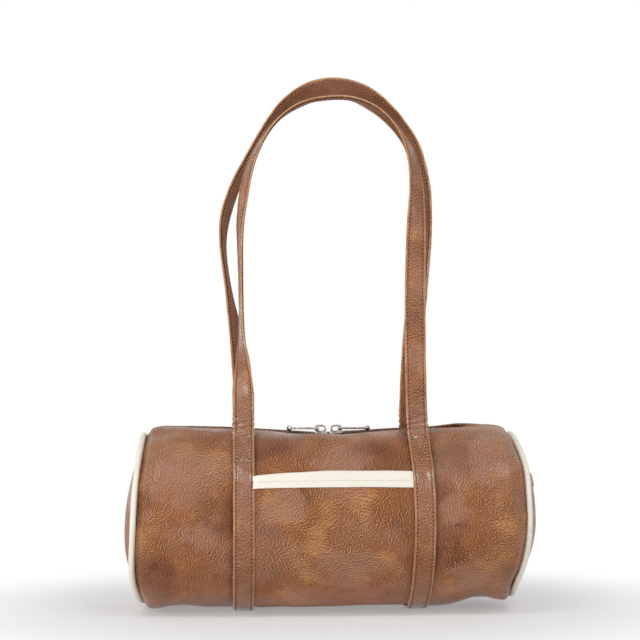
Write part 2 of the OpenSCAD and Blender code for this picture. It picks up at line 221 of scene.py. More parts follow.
def addSheet(piece, outer, inner, uv, wrap=False, pole=False, wear=0.0, rimWear=0.0):
    # A closed sheet from its outer and inner grids. Its open borders are rounded over, so both
    # faces meet in one last row. With wrap the columns close, and uv has one column more; with
    # pole the first row is one point
    mid, half = (outer + inner) / 2, (outer - inner) / 2
    tags = {"thin": np.ones(mid.shape[:2]), "uv": uv[:, :mid.shape[1]], "rimWear": rimWear,
            "wear": np.broadcast_to(wear, mid.shape[:2]).astype(float)}
    mid, half, tags = padRows(mid, half, tags, pole)
    if not wrap:
        mid, half, tags = turned(*padRows(*turned(mid, half, tags), False))
    thin = tags["thin"][..., None]
    rows, cols = mid.shape[:2]
    shared = np.zeros((rows, cols), bool)
    shared[-1] = True
    if not pole:
        shared[0] = True
    if not wrap:
        shared[:, [0, -1]] = True
    first = addPoints(piece, mid + half * thin, tags["wear"].reshape(-1))
    outerIndex = first + np.arange(rows * cols).reshape(rows, cols)
    first = addPoints(piece, (mid - half * thin)[~shared], tags["wear"][~shared])
    innerIndex = outerIndex.copy()
    innerIndex[~shared] = first + np.arange((~shared).sum())
    map2 = tags["uv"]
    if wrap:
        map2 = np.concatenate([map2, map2[:, :1] + uv[:1, -1:] - uv[:1, :1]], 1)
    # The outer grid's faces turn to the side that the outer points lie on
    a, b, d = mid[1:-1, :-1], mid[1:-1, 1:], mid[2:, :-1]
    facing = (np.cross(b - a, d - a) * half[1:-1, :-1]).sum()
    addQuads(piece, *gridQuads(outerIndex, map2, False, wrap), facing < 0)
    addQuads(piece, *gridQuads(innerIndex, map2, False, wrap), facing > 0)
    if pole:
        piece["poles"] += [outerIndex[0], innerIndex[0]]


def addTube(piece, points, uv, wrapRows=False, wear=0.0):
    # A closed tube from rings of points; open ends close to a point in their middle
    rows, cols = points.shape[:2]
    if not wrapRows:
        points = np.concatenate([
            np.repeat(points[:1].mean(1, keepdims=True), cols, 1), points,
            np.repeat(points[-1:].mean(1, keepdims=True), cols, 1)])
        uv = np.concatenate([uv[:1], uv, uv[-1:]])
        if np.ndim(wear) == 2:
            wear = np.concatenate([wear[:1], wear, wear[-1:]])
        rows += 2
    first = addPoints(piece, points, np.broadcast_to(wear, (rows, cols)).reshape(-1))
    index = first + np.arange(rows * cols).reshape(rows, cols)
    quads, quadUv = gridQuads(index, uv, wrapRows, True)
    a, b, d = points[1:-1, :-1], points[1:-1, 1:], points[2:, :-1]
    outward = a - points[1:-1].mean(1, keepdims=True)
    addQuads(piece, quads, quadUv, (np.cross(b - a, d - a) * outward).sum() < 0)
    if not wrapRows:
        piece["poles"] += [index[0], index[-1]]


def tubeUv(cols, length, around):
    # Length along and distance around, with one more column for the way round
    u, v = np.meshgrid(length, np.linspace(0, around, cols + 1), indexing="ij")
    return np.stack([u, v], -1)


settleShape = {
    "rise": 3.6,  # how far the foot of the right end rises
    "start": 84.0,  # where it begins to rise
    "end": 150.0,  # and where it has risen in full
    "slack": ((1.3, -120.0, 20.0), (4.0, 126.0, 19.0)),  # height, place and reach of each slack part
    "top": 150.0,  # height at which the lift has run out
}


def settled(points):
    # The filled bag hangs less at its right end: past the strap its foot rises, its top stays.
    # Between strap and end the foot is slack and draws up again
    s = settleShape
    lift = s["rise"] * ramp(s["start"], s["end"], points[:, 0])
    for hump in s["slack"]:
        lift = lift + ridge(points[:, 0], hump)
    return points + np.outer(lift * np.clip(1 - points[:, 2] / s["top"], 0, 1), [0, 0, 1])


def finishPiece(piece, name, material, body, stands=()):
    # Writes the arrays into a mesh in metres, merges the poles and gives it its finish and body
    points = np.concatenate(piece["points"])
    points = settled(points) if body == "bag" else points
    quads = np.concatenate(piece["quads"])
    quadUv = np.concatenate(piece["uv"])
    number = np.arange(len(points))
    for ring in piece["poles"]:
        number[ring] = ring[..., :1]
    quads = number[quads]
    used, compact = np.unique(quads, return_inverse=True)
    quads = compact.reshape(quads.shape)
    # A quad with two equal corners beside each other is written as a triangle
    same = np.stack([quads[:, k] == quads[:, (k + 1) % 4] for k in range(4)], 1)
    keep = ~same
    wanted = same.sum(1) < 2
    quads, quadUv, keep = quads[wanted], quadUv[wanted], keep[wanted]
    counts = keep.sum(1)
    loops = quads[keep]
    uv = quadUv[keep] * mm
    mesh = bpy.data.meshes.new(name)
    mesh.vertices.add(len(used))
    mesh.vertices.foreach_set("co", (points[used] * mm).astype(np.float32).ravel())
    mesh.loops.add(len(loops))
    mesh.loops.foreach_set("vertex_index", loops.astype(np.int32))
    mesh.polygons.add(len(counts))
    starts = np.concatenate([[0], np.cumsum(counts)[:-1]])
    mesh.polygons.foreach_set("loop_start", starts.astype(np.int32))
    mesh.update(calc_edges=True)
    mesh.validate()
    layer = mesh.uv_layers.new(name="UVMap")
    layer.data.foreach_set("uv", uv.astype(np.float32).ravel())
    wear = mesh.attributes.new("wear", "FLOAT", "POINT")
    wear.data.foreach_set("value", np.concatenate(piece["wear"])[used].astype(np.float32))
    mesh.shade_smooth()
    thing = addObject(name, mesh)
    mesh.materials.append(material)
    dress(thing, body, stands)


def dress(thing, body, stands=()):
    # Hangs a piece on the body it rides on; a piece given two bodies to bend between is only baked in
    # place. Hides the CAD nodes it stands for
    if isinstance(body, str):
        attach(thing, body)
    else:
        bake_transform(thing)
    if stands:
        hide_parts(*stands)


def makeSheet(name, outer, inner, uv, material, slot, stands, body="bag", **how):
    # A piece that is one closed sheet
    piece = newPiece()
    addSheet(piece, outer, inner, uv, **how)
    finishPiece(piece, name, material, body, stands)


# Thread

threadLook = {
    "sides": 6,
    "pitch": 3.4, "length": 2.4, "radius": 0.4,  # the straps' edge rows
    "boxLength": 2.6, "boxRadius": 0.5, "linePoints": 40,  # their sewn boxes
    "webRadius": 0.26,  # the rows that hold the webbing
    "holeLength": 1.5, "holeRadius": 0.74,  # needle holes
    "rings": (-1.0, -0.78, 0.0, 0.78, 1.0),  # places of a stitch's rings, in half lengths
    "lifts": (-1.1, 0.15, 0.75, 0.15, -1.1),  # their heights, in radii
    "holeLifts": (-1.1, -0.6, -0.5, -0.6, -1.1),
    "sizes": (0.0, 0.9, 1.0, 0.9, 0.0),  # and their own radii
    "pathEnd": 3.0,  # from the strap's end to its first stitch
    "sink": 0.02,  # depth of the edge rows in the leather
    "handleShare": 0.05,  # least that lies on the bag where webbing is sewn
}


def addStitches(piece, path, out, pitch=4.0, length=3.0, radius=0.3, hole=False):
    # Evenly spaced stitches along a path. Each is a short thread of five rings that rises out
    # of the leather, lies on it and dives back. A needle hole is a sunk grain between two, in a dark
    # material that paints the shade in the hole
    look = threadLook
    along = arcLength(path)
    count = max(int(round(along[-1] / pitch)), 1)
    step = along[-1] / count
    centre = (np.arange(1, count) if hole else np.arange(count) + 0.5) * step
    count = len(centre)
    if not count:
        return
    reach = length / 2 * min(step / pitch, 1.0)
    rings = len(look["rings"])
    lifts = np.array(look["holeLifts" if hole else "lifts"]) * radius
    sizes = np.array(look["sizes"]) * radius
    where = centre[:, None] + np.array(look["rings"])[None] * reach
    spots = sampleAt(path, along, where.ravel()).reshape(count, rings, 3)
    ups = unit(sampleAt(out, along, where.ravel()).reshape(count, rings, 3))
    ahead = unit(spots[:, -1:] - spots[:, :1])
    sideways = unit(np.cross(ups, ahead))
    spots = spots + ups * lifts[None, :, None]
    sides = look["sides"]
    angle = np.arange(sides) / sides * 2 * math.pi
    ring = (np.cos(angle)[None, None, :, None] * sideways[:, :, None]
            + np.sin(angle)[None, None, :, None] * ups[:, :, None])
    points = spots[:, :, None] + ring * sizes[None, :, None, None]
    first = addPoints(piece, points)
    index = first + np.arange(points.size // 3).reshape(count, rings, sides)
    piece["poles"] += [index[:, 0], index[:, -1]]
    closing = np.concatenate([index, index[:, :, :1]], 2)
    quads = np.stack([closing[:, :-1, :-1], closing[:, :-1, 1:], closing[:, 1:, 1:],
                      closing[:, 1:, :-1]], -1).reshape(-1, 4)
    uv = np.zeros((len(quads), 4, 2))
    uv[:, :, 0] = np.tile([0, 0, 1, 1], (len(quads), 1))
    uv[:, :, 1] = np.tile([0, 1, 1, 0], (len(quads), 1))
    a, b, d = points[:, 1, 0], points[:, 1, 1], points[:, 2, 0]
    flip = (np.cross(b - a, d - a) * (a - spots[:, 1])).sum() < 0
    addQuads(piece, quads, uv, flip)


# The barrel's shape. Angles run from the top over the front, under the bag and up the rear

barrelShape = {
    "seamForward": 1.4,  # how far the end seam stands out at the front and rear
    "seamBack": 4.7,  # how far it falls back at the top and bottom
    "leftFoot": (4.0, 2.3, 0.5),  # height, angle from the top and half width of its swells
    "rightShoulder": (1.8, 0.87, 0.35),
    "rightFoot": (3.0, 2.5, 0.42),
    "rollIn": 20.96,  # from the seam to the middle of the rolled edge
    "flatHalf": 144.0,  # half the length between the rolled edges
    "rollArc": 22.1,  # length of leather in each rolled edge
    "dip": 8.7,  # how far the top sinks
    "dipSlope": 0.0584,
    "dipSoft": 12.0,
    "topStand": 0.4,  # how far the leather stands off the sunken top
    "baseStand": 0.2,  # and off the flat base
    "topBlend": 7.0,  # how widely the barrel rounds over to its top
    "baseBlend": 8.0,
    "steepest": 0.04,  # least share of a slope that still counts as facing up or down
    "slotHalf": 11.0,
    "slotEnd": (114.0, 138.0),
    "buttGap": 0.35,  # half the gap between the folded edges past the zip
    "seamStitch": 4.6,  # from the end of the leather to its row of stitches
    "edgeStitch": 3.3,  # from the folded edge along the zip to its row of stitches
    "leftBow": 0.4,  # how far each strap bows outward across the front
    "rightBow": 2.4,
}


def seamPlace(side, a):
    # Distance of the end seam from the middle: a little bowed, furthest out at the front and rear.
    # The left end leans out at its foot; the right end leans out at its shoulder instead
    s = barrelShape
    forward, back = s["seamForward"], s["seamBack"]
    fromTop = np.minimum(a, 2 * math.pi - a)
    left = ridge(fromTop, s["leftFoot"])
    right = ridge(fromTop, s["rightShoulder"]) - ridge(fromTop, s["rightFoot"])
    return bagSize["seam"] + forward - (forward + back) * np.cos(a) ** 2 + np.where(side < 0, left, right)


def topHeight(x):
    # Two slopes that fall to the middle, rounded there
    s = barrelShape
    return axis + radius - s["dip"] + s["dipSlope"] * np.sqrt(x * x + s["dipSoft"] ** 2)


def slotGap(u):
    # Half the gap between the folded edges: open along the zip, shut past its ends
    s = barrelShape
    start, stop = s["slotEnd"]
    return s["buttGap"] + (s["slotHalf"] - s["buttGap"]) * (1 - ramp(start, stop, np.abs(u)))


def strapCentre(side, a):
    # Place of a strap's middle line: the right one bows outward across the front, by the square
    # of the sine of the angle, and the left one hardly
    front = np.clip(np.sin(a), 0, 1)
    bow = barrelShape["rightBow"] * front ** 2 if side > 0 else barrelShape["leftBow"] * front
    return side * (bagSize["strapX"] + bow)


def besideStrap(side, u, a):
    # Distance from the nearer edge of a strap, 0 under it
    return np.clip(np.abs(u - strapCentre(side, a)) - bagSize["strapWidth"] / 2, 0, None)


def edgeAngle(u, extra=0.0):
    # Angle of the folded edge from the top, with the gap widened by extra
    top = topHeight(u) - axis
    return np.arcsin(np.clip((slotGap(u) + extra) / np.minimum(top, radius), 0, 1))


def foldPlace(u, a):
    # Length of leather from the folded edge of the zip
    return radius * (np.minimum(a, 2 * math.pi - a) - edgeAngle(u))


def endPlace(u):
    # Length of leather from its end
    return barrelShape["flatHalf"] + barrelShape["rollArc"] - np.abs(u)


# Height, place and half width where three numbers stand together; a field is a size and a seed
reliefShape = {
    "sag": 0.85, "sagField": (95, 3),  # slow dents and bulges
    "sagAtZip": 0.25,  # their share beside the zip
    "sagFrom": (6, 40),  # where they begin and are full, from the top
    "dent": 0.42, "dentField": (36, 8),  # and quicker ones
    "pucker": 0.26,  # puckers along each end seam
    "puckerPitch": 13, "puckerReach": 8,
    "puckerStray": 1.6, "puckerStrayField": (40, 21),
    "puckerEven": 0.6, "puckerField": (60, 5),
    "seamBead": (0.5, 8.6, 3.2), "seamChannel": (0.42, barrelShape["seamStitch"], 1.0),
    "foldBead": (0.35, 1.2, 1.3), "foldChannel": (0.3, barrelShape["edgeStitch"], 0.8),
    "zipSag": (3.7, 0, 40.0),  # how far the front folded edge sags in the middle
    "rearSagShare": 0.15,  # the rear edge's share of that
    "zipSagReach": (9.0, 4.5),  # how far it draws on the leather, and on the turned edge
    "lobeWide": 0.55,  # half width, in radians, of the lobes round the foot
    "leftLobe": (2.6, -157, 9), "leftSlack": (1.0, -128, 14),
    "rightLobe": (1.6, 157, 8), "rightSlack": (2.2, 136, 13),
    "footDip": (0.8, 30, 60), "footDipWide": 0.3,
    "rearRise": (2.2, 122, 20),  # the rear edge of the zip stands up at the right
    "rearRiseAngle": (0.17, 0.1),
    "pressed": 0.55, "pressedReach": (8.2, 13.5), "pressedFrom": (0.35, 0.6),  # by the straps
}


def zipSag(x):
    # How far the front folded edge sags: a bell curve along the zip
    return ridge(x, reliefShape["zipSag"])


def bodyRelief(u, a, straps=True):
    # How far the leather stands off its plain barrel: a slow sag, puckers and a sewn channel
    # along each end seam, a channel along the zip, lobes at the lower corners, straps pressed in
    s = reliefShape
    fromTop = np.minimum(a, 2 * math.pi - a)
    ring = stack(u, radius * np.sin(a), radius * np.cos(a))
    free = ramp(*s["sagFrom"], radius * fromTop)
    end, edge = endPlace(u), foldPlace(u, a)
    lift = s["sag"] * (s["sagAtZip"] + (1 - s["sagAtZip"]) * free) * wander(ring, *s["sagField"])
    lift += s["dent"] * free * wander(ring, *s["dentField"])
    stray = s["puckerStray"] * wander(ring, *s["puckerStrayField"])
    phase = 2 * math.pi * radius * a / s["puckerPitch"] + stray
    uneven = s["puckerEven"] + (1 - s["puckerEven"]) * wander(ring, *s["puckerField"])
    lift += s["pucker"] * np.sin(phase) * np.exp(-end / s["puckerReach"]) * uneven
    lift += ridge(end, s["seamBead"]) - ridge(end, s["seamChannel"])
    lift += ridge(edge, s["foldBead"]) - ridge(edge, s["foldChannel"])
    sag = zipSag(u) * np.where(a < math.pi, 1.0, s["rearSagShare"])
    lift -= sag * bell(edge, 0, np.where(edge > 0, *s["zipSagReach"]))
    left = ridge(u, s["leftLobe"]) - ridge(u, s["leftSlack"])
    right = ridge(u, s["rightLobe"]) - ridge(u, s["rightSlack"])
    lift += bell(a, math.pi, s["lobeWide"]) * np.where(u < 0, left, right)
    lift -= ridge(u, s["footDip"]) * bell(a, math.pi, s["footDipWide"])
    lift += ridge(u, s["rearRise"]) * bell(2 * math.pi - a, *s["rearRiseAngle"])
    if straps:
        for side in (-1, 1):
            away = ramp(*s["pressedReach"], np.abs(u - strapCentre(side, a)))
            lift -= s["pressed"] * (1 - away) * ramp(*s["pressedFrom"], fromTop)
    return lift


def bodySurface(u, a, inset=0.0, straps=True):
    # A barrel with rolled edges, each a circle's arc, cut softly by the sunken top and the flat
    # base. u is the length of leather from the middle and inset the depth under its face
    s = barrelShape
    side = np.sign(u)
    turn = np.clip((np.abs(u) - s["flatHalf"]) / bagSize["edgeRound"], 0, None)
    rollCentre = seamPlace(side, a) - s["rollIn"]
    straight = np.where(np.abs(u) < s["flatHalf"], u / s["flatHalf"] * rollCentre, side * rollCentre)
    lift = bodyRelief(u, a, straps)
    edge = bagSize["edgeRound"] - inset + lift
    x = straight + side * edge * np.sin(turn)
    r = radius - bagSize["edgeRound"] + edge * np.cos(turn)
    up = np.cos(a)
    top = (topHeight(x) - axis + s["topStand"] - inset + lift) / np.maximum(up, s["steepest"])
    base = (axis - bagSize["base"] + s["baseStand"] - inset + lift) / np.maximum(-up, s["steepest"])
    r = softMin(softMin(r, top, s["topBlend"]), base, s["baseBlend"])
    return stack(x, -r * np.sin(a), axis + r * np.cos(a))


def onBody(x, a, lift=0.0, straps=False):
    # A point of the barrel by its distance from the middle, raised off the leather
    u = x * barrelShape["flatHalf"] / (seamPlace(x, a) - barrelShape["rollIn"])
    return bodySurface(u, a, -lift, straps)


def outOfBody(u, a):
    # The way out of the leather: from its face to a face 1 mm above
    return unit(bodySurface(u, a, -1.0) - bodySurface(u, a))


def barrelGrid(rows, cols, endFine, edgeFine, length, gapExtra=0.0):
    # A grid over the barrel's leather, finer at its borders: half the columns of u mirror the rest
    half = np.concatenate([np.array(endFine), np.linspace(endFine[-1], length, rows)[1:]])
    u = np.concatenate([half - length, (length - half[::-1])[1:]])
    start = edgeAngle(u, gapExtra)
    total = 2 * math.pi - 2 * start
    arc = (2 * math.pi - 2 * start.max()) * radius
    inner = np.linspace(edgeFine[-1], arc - edgeFine[-1], cols)[1:-1]
    share = np.concatenate([edgeFine, inner, arc - np.array(edgeFine)[::-1]]) / arc
    a = start[:, None] + total[:, None] * share[None]
    return np.repeat(u[:, None], a.shape[1], 1), a


bodyGrid = {
    "rows": 96, "cols": 206,
    "endFine": [0, 0.9, 1.8, 2.6, 3.3, 4.0, 4.6, 5.2, 5.9, 6.8, 8.0],  # from each end of the leather
    "foldFine": [0, 0.7, 1.4, 2.1, 2.7, 3.3, 3.9, 4.6, 5.6, 7.0],  # from each folded edge
    "threadHalf": 161, "threadPoints": 420, "seamGap": 0.02, "seamPoints": 500,
}

# Wear above 0 is rubbed pale. Below 0 it is darker: painted shade beside the straps and along the
# end seams, a painted shadow along the rear folded edge, and random dark clouds
bodyWearAndShade = {
    "fold": 0.75, "foldReach": (0.3, 2.0), "roll": (0.16, 8.4, 2.4),
    # Painted shade beside each strap, and a narrow painted shadow line along its edge
    "strap": 0.45, "strapReach": 7, "strapLine": 0.5, "strapLineReach": 1.6,
    # Painted shade along each end seam
    "seam": (0.45, 2.5, 2.6),
    "even": 0.65, "patchField": (26, 91),
    "cloud": 0.4, "cloudReach": (0.2, 1.0), "cloudField": (60, 93),
    # Painted shadow along the rear folded edge
    "rearFold": 1.1, "rearFoldReach": 5,
    "rim": -0.6,
}


def makeBody():
    # The barrel's leather, pale along its fold, with painted shade where it dips beside the straps
    # and along the end seams and a painted shadow along the rear folded edge, with its rows of stitches
    s, g = bodyWearAndShade, bodyGrid
    length = barrelShape["flatHalf"] + barrelShape["rollArc"]
    u, a = barrelGrid(g["rows"], g["cols"], g["endFine"], g["foldFine"], length)
    outer, inner = bodySurface(u, a), bodySurface(u, a, bagSize["leather"])
    edge, end = foldPlace(u, a), endPlace(u)
    rear = a > math.pi
    wear = np.where(rear, 0.0, s["fold"] * (1 - ramp(*s["foldReach"], edge))) + ridge(end, s["roll"])
    spot = stack(u, radius * np.sin(a), radius * np.cos(a))
    patches = s["even"] + (1 - s["even"]) * wander(spot, *s["patchField"])
    # Painted shade beside each strap, with a painted shadow line at its edge
    for side in (-1, 1):
        gap = besideStrap(side, u, a)
        wear = wear - s["strap"] * np.exp(-gap / s["strapReach"]) * patches
        wear = wear - s["strapLine"] * np.exp(-gap / s["strapLineReach"])
    # Painted shade along the end seams, then random dark clouds
    wear = wear - ridge(end, s["seam"]) * patches
    wear = wear - s["cloud"] * ramp(*s["cloudReach"], wander(spot, *s["cloudField"]))
    # Painted shadow along the rear folded edge
    wear = wear - np.where(rear, s["rearFold"] * np.exp(-edge / s["rearFoldReach"]), 0.0)
    makeSheet("bodyShell", outer, inner, np.stack([u, a * radius], -1), leather, "leather",
              ["body_panel"], wear=wear, rimWear=s["rim"])

    thread = newPiece()
    rows = np.linspace(-g["threadHalf"], g["threadHalf"], g["threadPoints"])
    for turnRound in (False, True):
        angle = edgeAngle(rows) + barrelShape["edgeStitch"] / radius
        angle = 2 * math.pi - angle if turnRound else angle
        addStitches(thread, bodySurface(rows, angle), outOfBody(rows, angle))
    around = np.linspace(g["seamGap"], 2 * math.pi - g["seamGap"], g["seamPoints"])
    for side in (-1, 1):
        place = np.full_like(around, side * (length - barrelShape["seamStitch"]))
        addStitches(thread, bodySurface(place, around), outOfBody(place, around))
    finishPiece(thread, "bodyThread", threadBrown, "bag")


liningShape = {
    "rows": 40, "cols": 110, "fine": [0, 1.5, 3.0],
    "past": 17.0,  # how far the lining goes on round each rolled edge
    "gapExtra": 4.3,  # how much further it stays from the zip than the leather
    "face": 1.85, "back": 2.6,  # depths under the leather's face
    "fold": 0.12, "foldField": (16, 40),
}
innerPocketShape = {"half": 75.0, "low": 240, "high": 298, "depth": 2.9, "thick": 0.8, "grid": (60, 36)}
boardShape = {"edge": 1.0, "grid": (60, 14)}


def makeLining():
    # The lining follows the leather at a set depth, and its folds only go inward
    s = liningShape
    u, a = barrelGrid(s["rows"], s["cols"], s["fine"], s["fine"],
                      barrelShape["flatHalf"] + s["past"], s["gapExtra"])
    spot = stack(u, radius * np.sin(a), radius * np.cos(a))
    folds = s["fold"] * wander(spot, *s["foldField"])
    outer, inner = bodySurface(u, a, s["face"]), bodySurface(u, a, s["back"] - np.minimum(folds, 0))
    makeSheet("liningBody", outer, inner, np.stack([u, a * radius], -1), liningCloth, "lining_cloth",
              ["lining_body"])


def makeInnerPocket():
    # A patch on the rear wall of the lining, between two angles from the top
    s = innerPocketShape
    rows, cols = s["grid"]
    x, a = np.meshgrid(np.linspace(-s["half"], s["half"], rows),
                       np.radians(np.linspace(s["low"], s["high"], cols)), indexing="ij")
    makeSheet("innerPocket", onBody(x, a, -s["depth"]), onBody(x, a, -s["depth"] - s["thick"]),
              np.stack([x, a * radius], -1), liningCloth, "lining_cloth", ["inner_pocket"])


def makeBoard():
    # The base board lies where the CAD has it, and bends up with the leather at the right
    edge = boardShape["edge"]
    x, y = np.meshgrid(*(np.linspace(boardLow[k] + edge, boardHigh[k] - edge, boardShape["grid"][k])
                         for k in (0, 1)), indexing="ij")
    flat = stack(x, y, 0.0)
    makeSheet("baseBoard", flat + [0, 0, boardHigh[2]], flat + [0, 0, boardLow[2]],
              np.stack([x, y], -1), boardFibre, "board", ["base_board"])


# Ends

endShape = {
    "swell": 11.0,  # how far the middle of an end stands out
    "lower": 0.3,  # how much more it swells under its middle
    "tuck": 2.0, "tuckFrom": (0.95, 1.01),  # the rim falls back into the seam, by shares of the radius
    "sag": 0.6, "sagField": (62, 14),
    "pucker": 0.2, "puckerPitch": 11, "puckerReach": 5,
    "puckerStray": 1.5, "puckerStrayField": (35, 17),
    "fieldPlace": 50.0,  # tells the two ends' dents apart
    "rim": 68.7, "grid": (34, 150),  # rings and spokes
    "layerRim": 59.5, "layerGrid": (12, 72),  # of the stiffener and the lining
    "stiffener": (1.9, 1.0),  # depth under the leather's face, and thickness
    "lining": (3.1, 0.8),
    "ringShare": 0.8,  # below 1, rings crowd towards the rim
    "mapApart": 300,
}
bindingShape = {"outer": 67.4, "inner": 60.2, "inward": 2.4, "half": 0.5, "grid": (6, 120)}


def endSurface(side, rho, a, lift=0.0):
    # A dome that swells most a little under its middle; its rim follows the bowed seam and tucks in
    s = endShape
    share = rho / bagSize["endRadius"]
    seam = seamPlace(side, a)
    flat = stack(rho * np.sin(a), rho * np.cos(a), np.full_like(rho * a, side * s["fieldPlace"]))
    swell = s["swell"] * (1 - share ** 2) * (1 - s["lower"] * share * np.cos(a))
    swell += s["sag"] * (1 - share ** 4) * wander(flat, *s["sagField"])
    stray = s["puckerStray"] * wander(flat, *s["puckerStrayField"])
    phase = 2 * math.pi * rho * a / s["puckerPitch"] + stray
    swell += s["pucker"] * np.sin(phase) * np.exp(-(bagSize["endRadius"] - rho) / s["puckerReach"])
    swell -= s["tuck"] * ramp(*s["tuckFrom"], share)
    x = bagSize["seam"] + (seam - bagSize["seam"]) * share ** 2 + swell + lift
    return stack(side * x, -rho * np.sin(a), axis + rho * np.cos(a))


def discGrid(outer, rings, columns, inner=0.0):
    # Distance from the middle and angle from the top, as rings and spokes
    share = np.linspace(0, 1, rings) ** endShape["ringShare"]
    rho, a = np.meshgrid(inner + (outer - inner) * share,
                         np.arange(columns) / columns * 2 * math.pi, indexing="ij")
    return rho, a


def discUv(rho, a, side):
    # The disc laid flat, each end in its own place on the map
    across = np.concatenate([a, np.full_like(a[:, :1], 2 * math.pi)], 1)
    far = np.concatenate([rho, rho[:, :1]], 1)
    return np.stack([side * endShape["mapApart"] + far * np.sin(across), far * np.cos(across)], -1)


def makeEnd(side, name):
    # One end: its leather, and a stiffener and a lining that follow it inside
    s = endShape
    rho, a = discGrid(s["rim"], *s["grid"])
    makeSheet("endPanel" + name, endSurface(side, rho, a), endSurface(side, rho, a, -bagSize["leather"]),
              discUv(rho, a, side), leather, "leather", ["end_panel_" + name.lower()],
              wrap=True, pole=True)
    rho, a = discGrid(s["layerRim"], *s["layerGrid"])
    for label, node, layer, material, slot in (
        ("endStiffener", "end_stiffener_", "stiffener", boardFibre, "board"),
        ("liningEnd", "lining_end_", "lining", liningCloth, "lining_cloth"),
    ):
        depth, thick = s[layer]
        makeSheet(label + name, endSurface(side, rho, a, -depth), endSurface(side, rho, a, -depth - thick),
                  discUv(rho, a, side), material, slot, [node + name.lower()], wrap=True, pole=True)


def makeBinding(side, name):
    # Bound seam allowance: a flat ring just inside the seam
    s = bindingShape
    rho, a = discGrid(s["outer"], *s["grid"], s["inner"])
    x = side * (seamPlace(side, a) - s["inward"])
    ring = stack(x, -rho * np.sin(a), axis + rho * np.cos(a))
    out = np.array([side * s["half"], 0, 0])
    makeSheet("seamBinding" + name, ring + out, ring - out, discUv(rho, a, side), liningCloth,
              "lining_cloth", ["seam_binding_" + name.lower()], wrap=True)


pipingShape = {
    "radius": 2.6,
    "ringRadius": 71.0,
    "rings": 520, "sides": 18,
    "tuck": {-1: 0.4, 1: 1.4},  # how far the cord lies inside each seam
    "ripple": 0.07, "ripplePitch": 2.9, "rippleAtBack": 0.35,
    "stray": 1.2, "strayField": (30, 6),
    "joint": math.pi,  # angle from the top where the strip's ends lap
    "jointHalf": 6.0, "jointRise": 0.28, "jointSteps": (1.0, 0.8),
}


def makePiping(side, name):
    # A round cord in a leather strip, carried along the bowed end seam. The strip ripples where it
    # is drawn round the ring, and its two ends lap over each other at the bottom
    s = pipingShape
    rows, cols = s["rings"], s["sides"]
    a = np.arange(rows) / rows * 2 * math.pi
    place = side * (seamPlace(side, a) - s["tuck"][side])
    centre = stack(place, -s["ringRadius"] * np.sin(a), axis + s["ringRadius"] * np.cos(a))
    outward = stack(0.0, -np.sin(a), np.cos(a))
    b = np.arange(cols) / cols * 2 * math.pi
    arc = s["ringRadius"] * a
    fromJoint = arc - s["joint"] * s["ringRadius"]
    up, down = s["jointSteps"]
    lap = ramp(-s["jointHalf"] - up, -s["jointHalf"], fromJoint) * (
        1 - ramp(s["jointHalf"], s["jointHalf"] + down, fromJoint))
    slack = np.sin(2 * math.pi * arc / s["ripplePitch"] + s["stray"] * wander(centre, *s["strayField"]))
    facing = s["rippleAtBack"] + (1 - s["rippleAtBack"]) * np.abs(np.sin(b))[None]
    size = (s["radius"] + s["jointRise"] * lap)[:, None] + s["ripple"] * slack[:, None] * facing
    tube = (centre[:, None] + outward[:, None] * (np.cos(b)[None] * size)[..., None]
            + np.array([side, 0, 0]) * (np.sin(b)[None] * size)[..., None])
    length = np.linspace(0, 2 * math.pi * s["ringRadius"], rows + 1)
    piece = newPiece()
    addTube(piece, tube, tubeUv(cols, length, 2 * math.pi * s["radius"]), wrapRows=True)
    finishPiece(piece, "piping" + name, creamLeather, "bag", ["piping_" + name.lower()])


# Slip pocket on the right end

slipShape = {
    "radius": 66.2,
    "mouth": 37.0,  # height of the mouth over the end's middle
    "hem": 9.0,
    "thick": 1.0, "hemThick": 0.9,
    "stand": 2.8, "standFrom": -45,  # how far it stands off, and from which height
    "seat": 0.4, "crown": 0.5,  # how far all of it does, and its middle more
    "side": math.radians(62),  # angle of rim that counts as each side of its grid
    "hemGap": 0.05, "hemEdge": 0.4,
    "hemBead": (0.25, 6.5, 3.0), "hemChannel": (0.25, 1.8, 0.8),  # by height over the hem's foot
    "mouthWear": 0.55, "mouthReach": (0.2, 1.5), "footWear": 0.3, "footReach": (0.1, 0.9),
    "rim": 0.6,
    "threadEnd": 2.0, "threadDepth": 0.15,
    "mapPlace": 700, "hemMapPlace": 80,
    "grid": (44, 70), "hemGrid": (80, 14), "threadPoints": 160,
}


def slipLift(y, h):
    # The pocket stands off the end most in the middle of its mouth
    s = slipShape
    half = math.sqrt(s["radius"] ** 2 - s["mouth"] ** 2)
    opened = ramp(s["standFrom"], s["mouth"], h) * np.clip(1 - (y / half) ** 2, 0, 1)
    dome = np.clip(1 - (y * y + h * h) / s["radius"] ** 2, 0, 1)
    return s["seat"] + s["stand"] * opened + s["crown"] * dome


def slipPoint(y, h, lift):
    # A point over the right end by its place from the end's middle, raised off the leather
    rho = np.sqrt(y * y + h * h)
    return endSurface(1, rho, np.arctan2(-y, h), slipLift(y, h) + lift)


def coons(top, bottom, left, right):
    # Fills four border curves: the mean of the two rulings with the corners' own ruling taken off
    s = np.linspace(0, 1, len(top))[None, :, None]
    t = np.linspace(0, 1, len(left))[:, None, None]
    across = left[:, None] * (1 - s) + right[:, None] * s
    down = top[None] * (1 - t) + bottom[None] * t
    corner = ((top[0] * (1 - s) + top[-1] * s) * (1 - t) + (bottom[0] * (1 - s) + bottom[-1] * s) * t)
    return across + down - corner


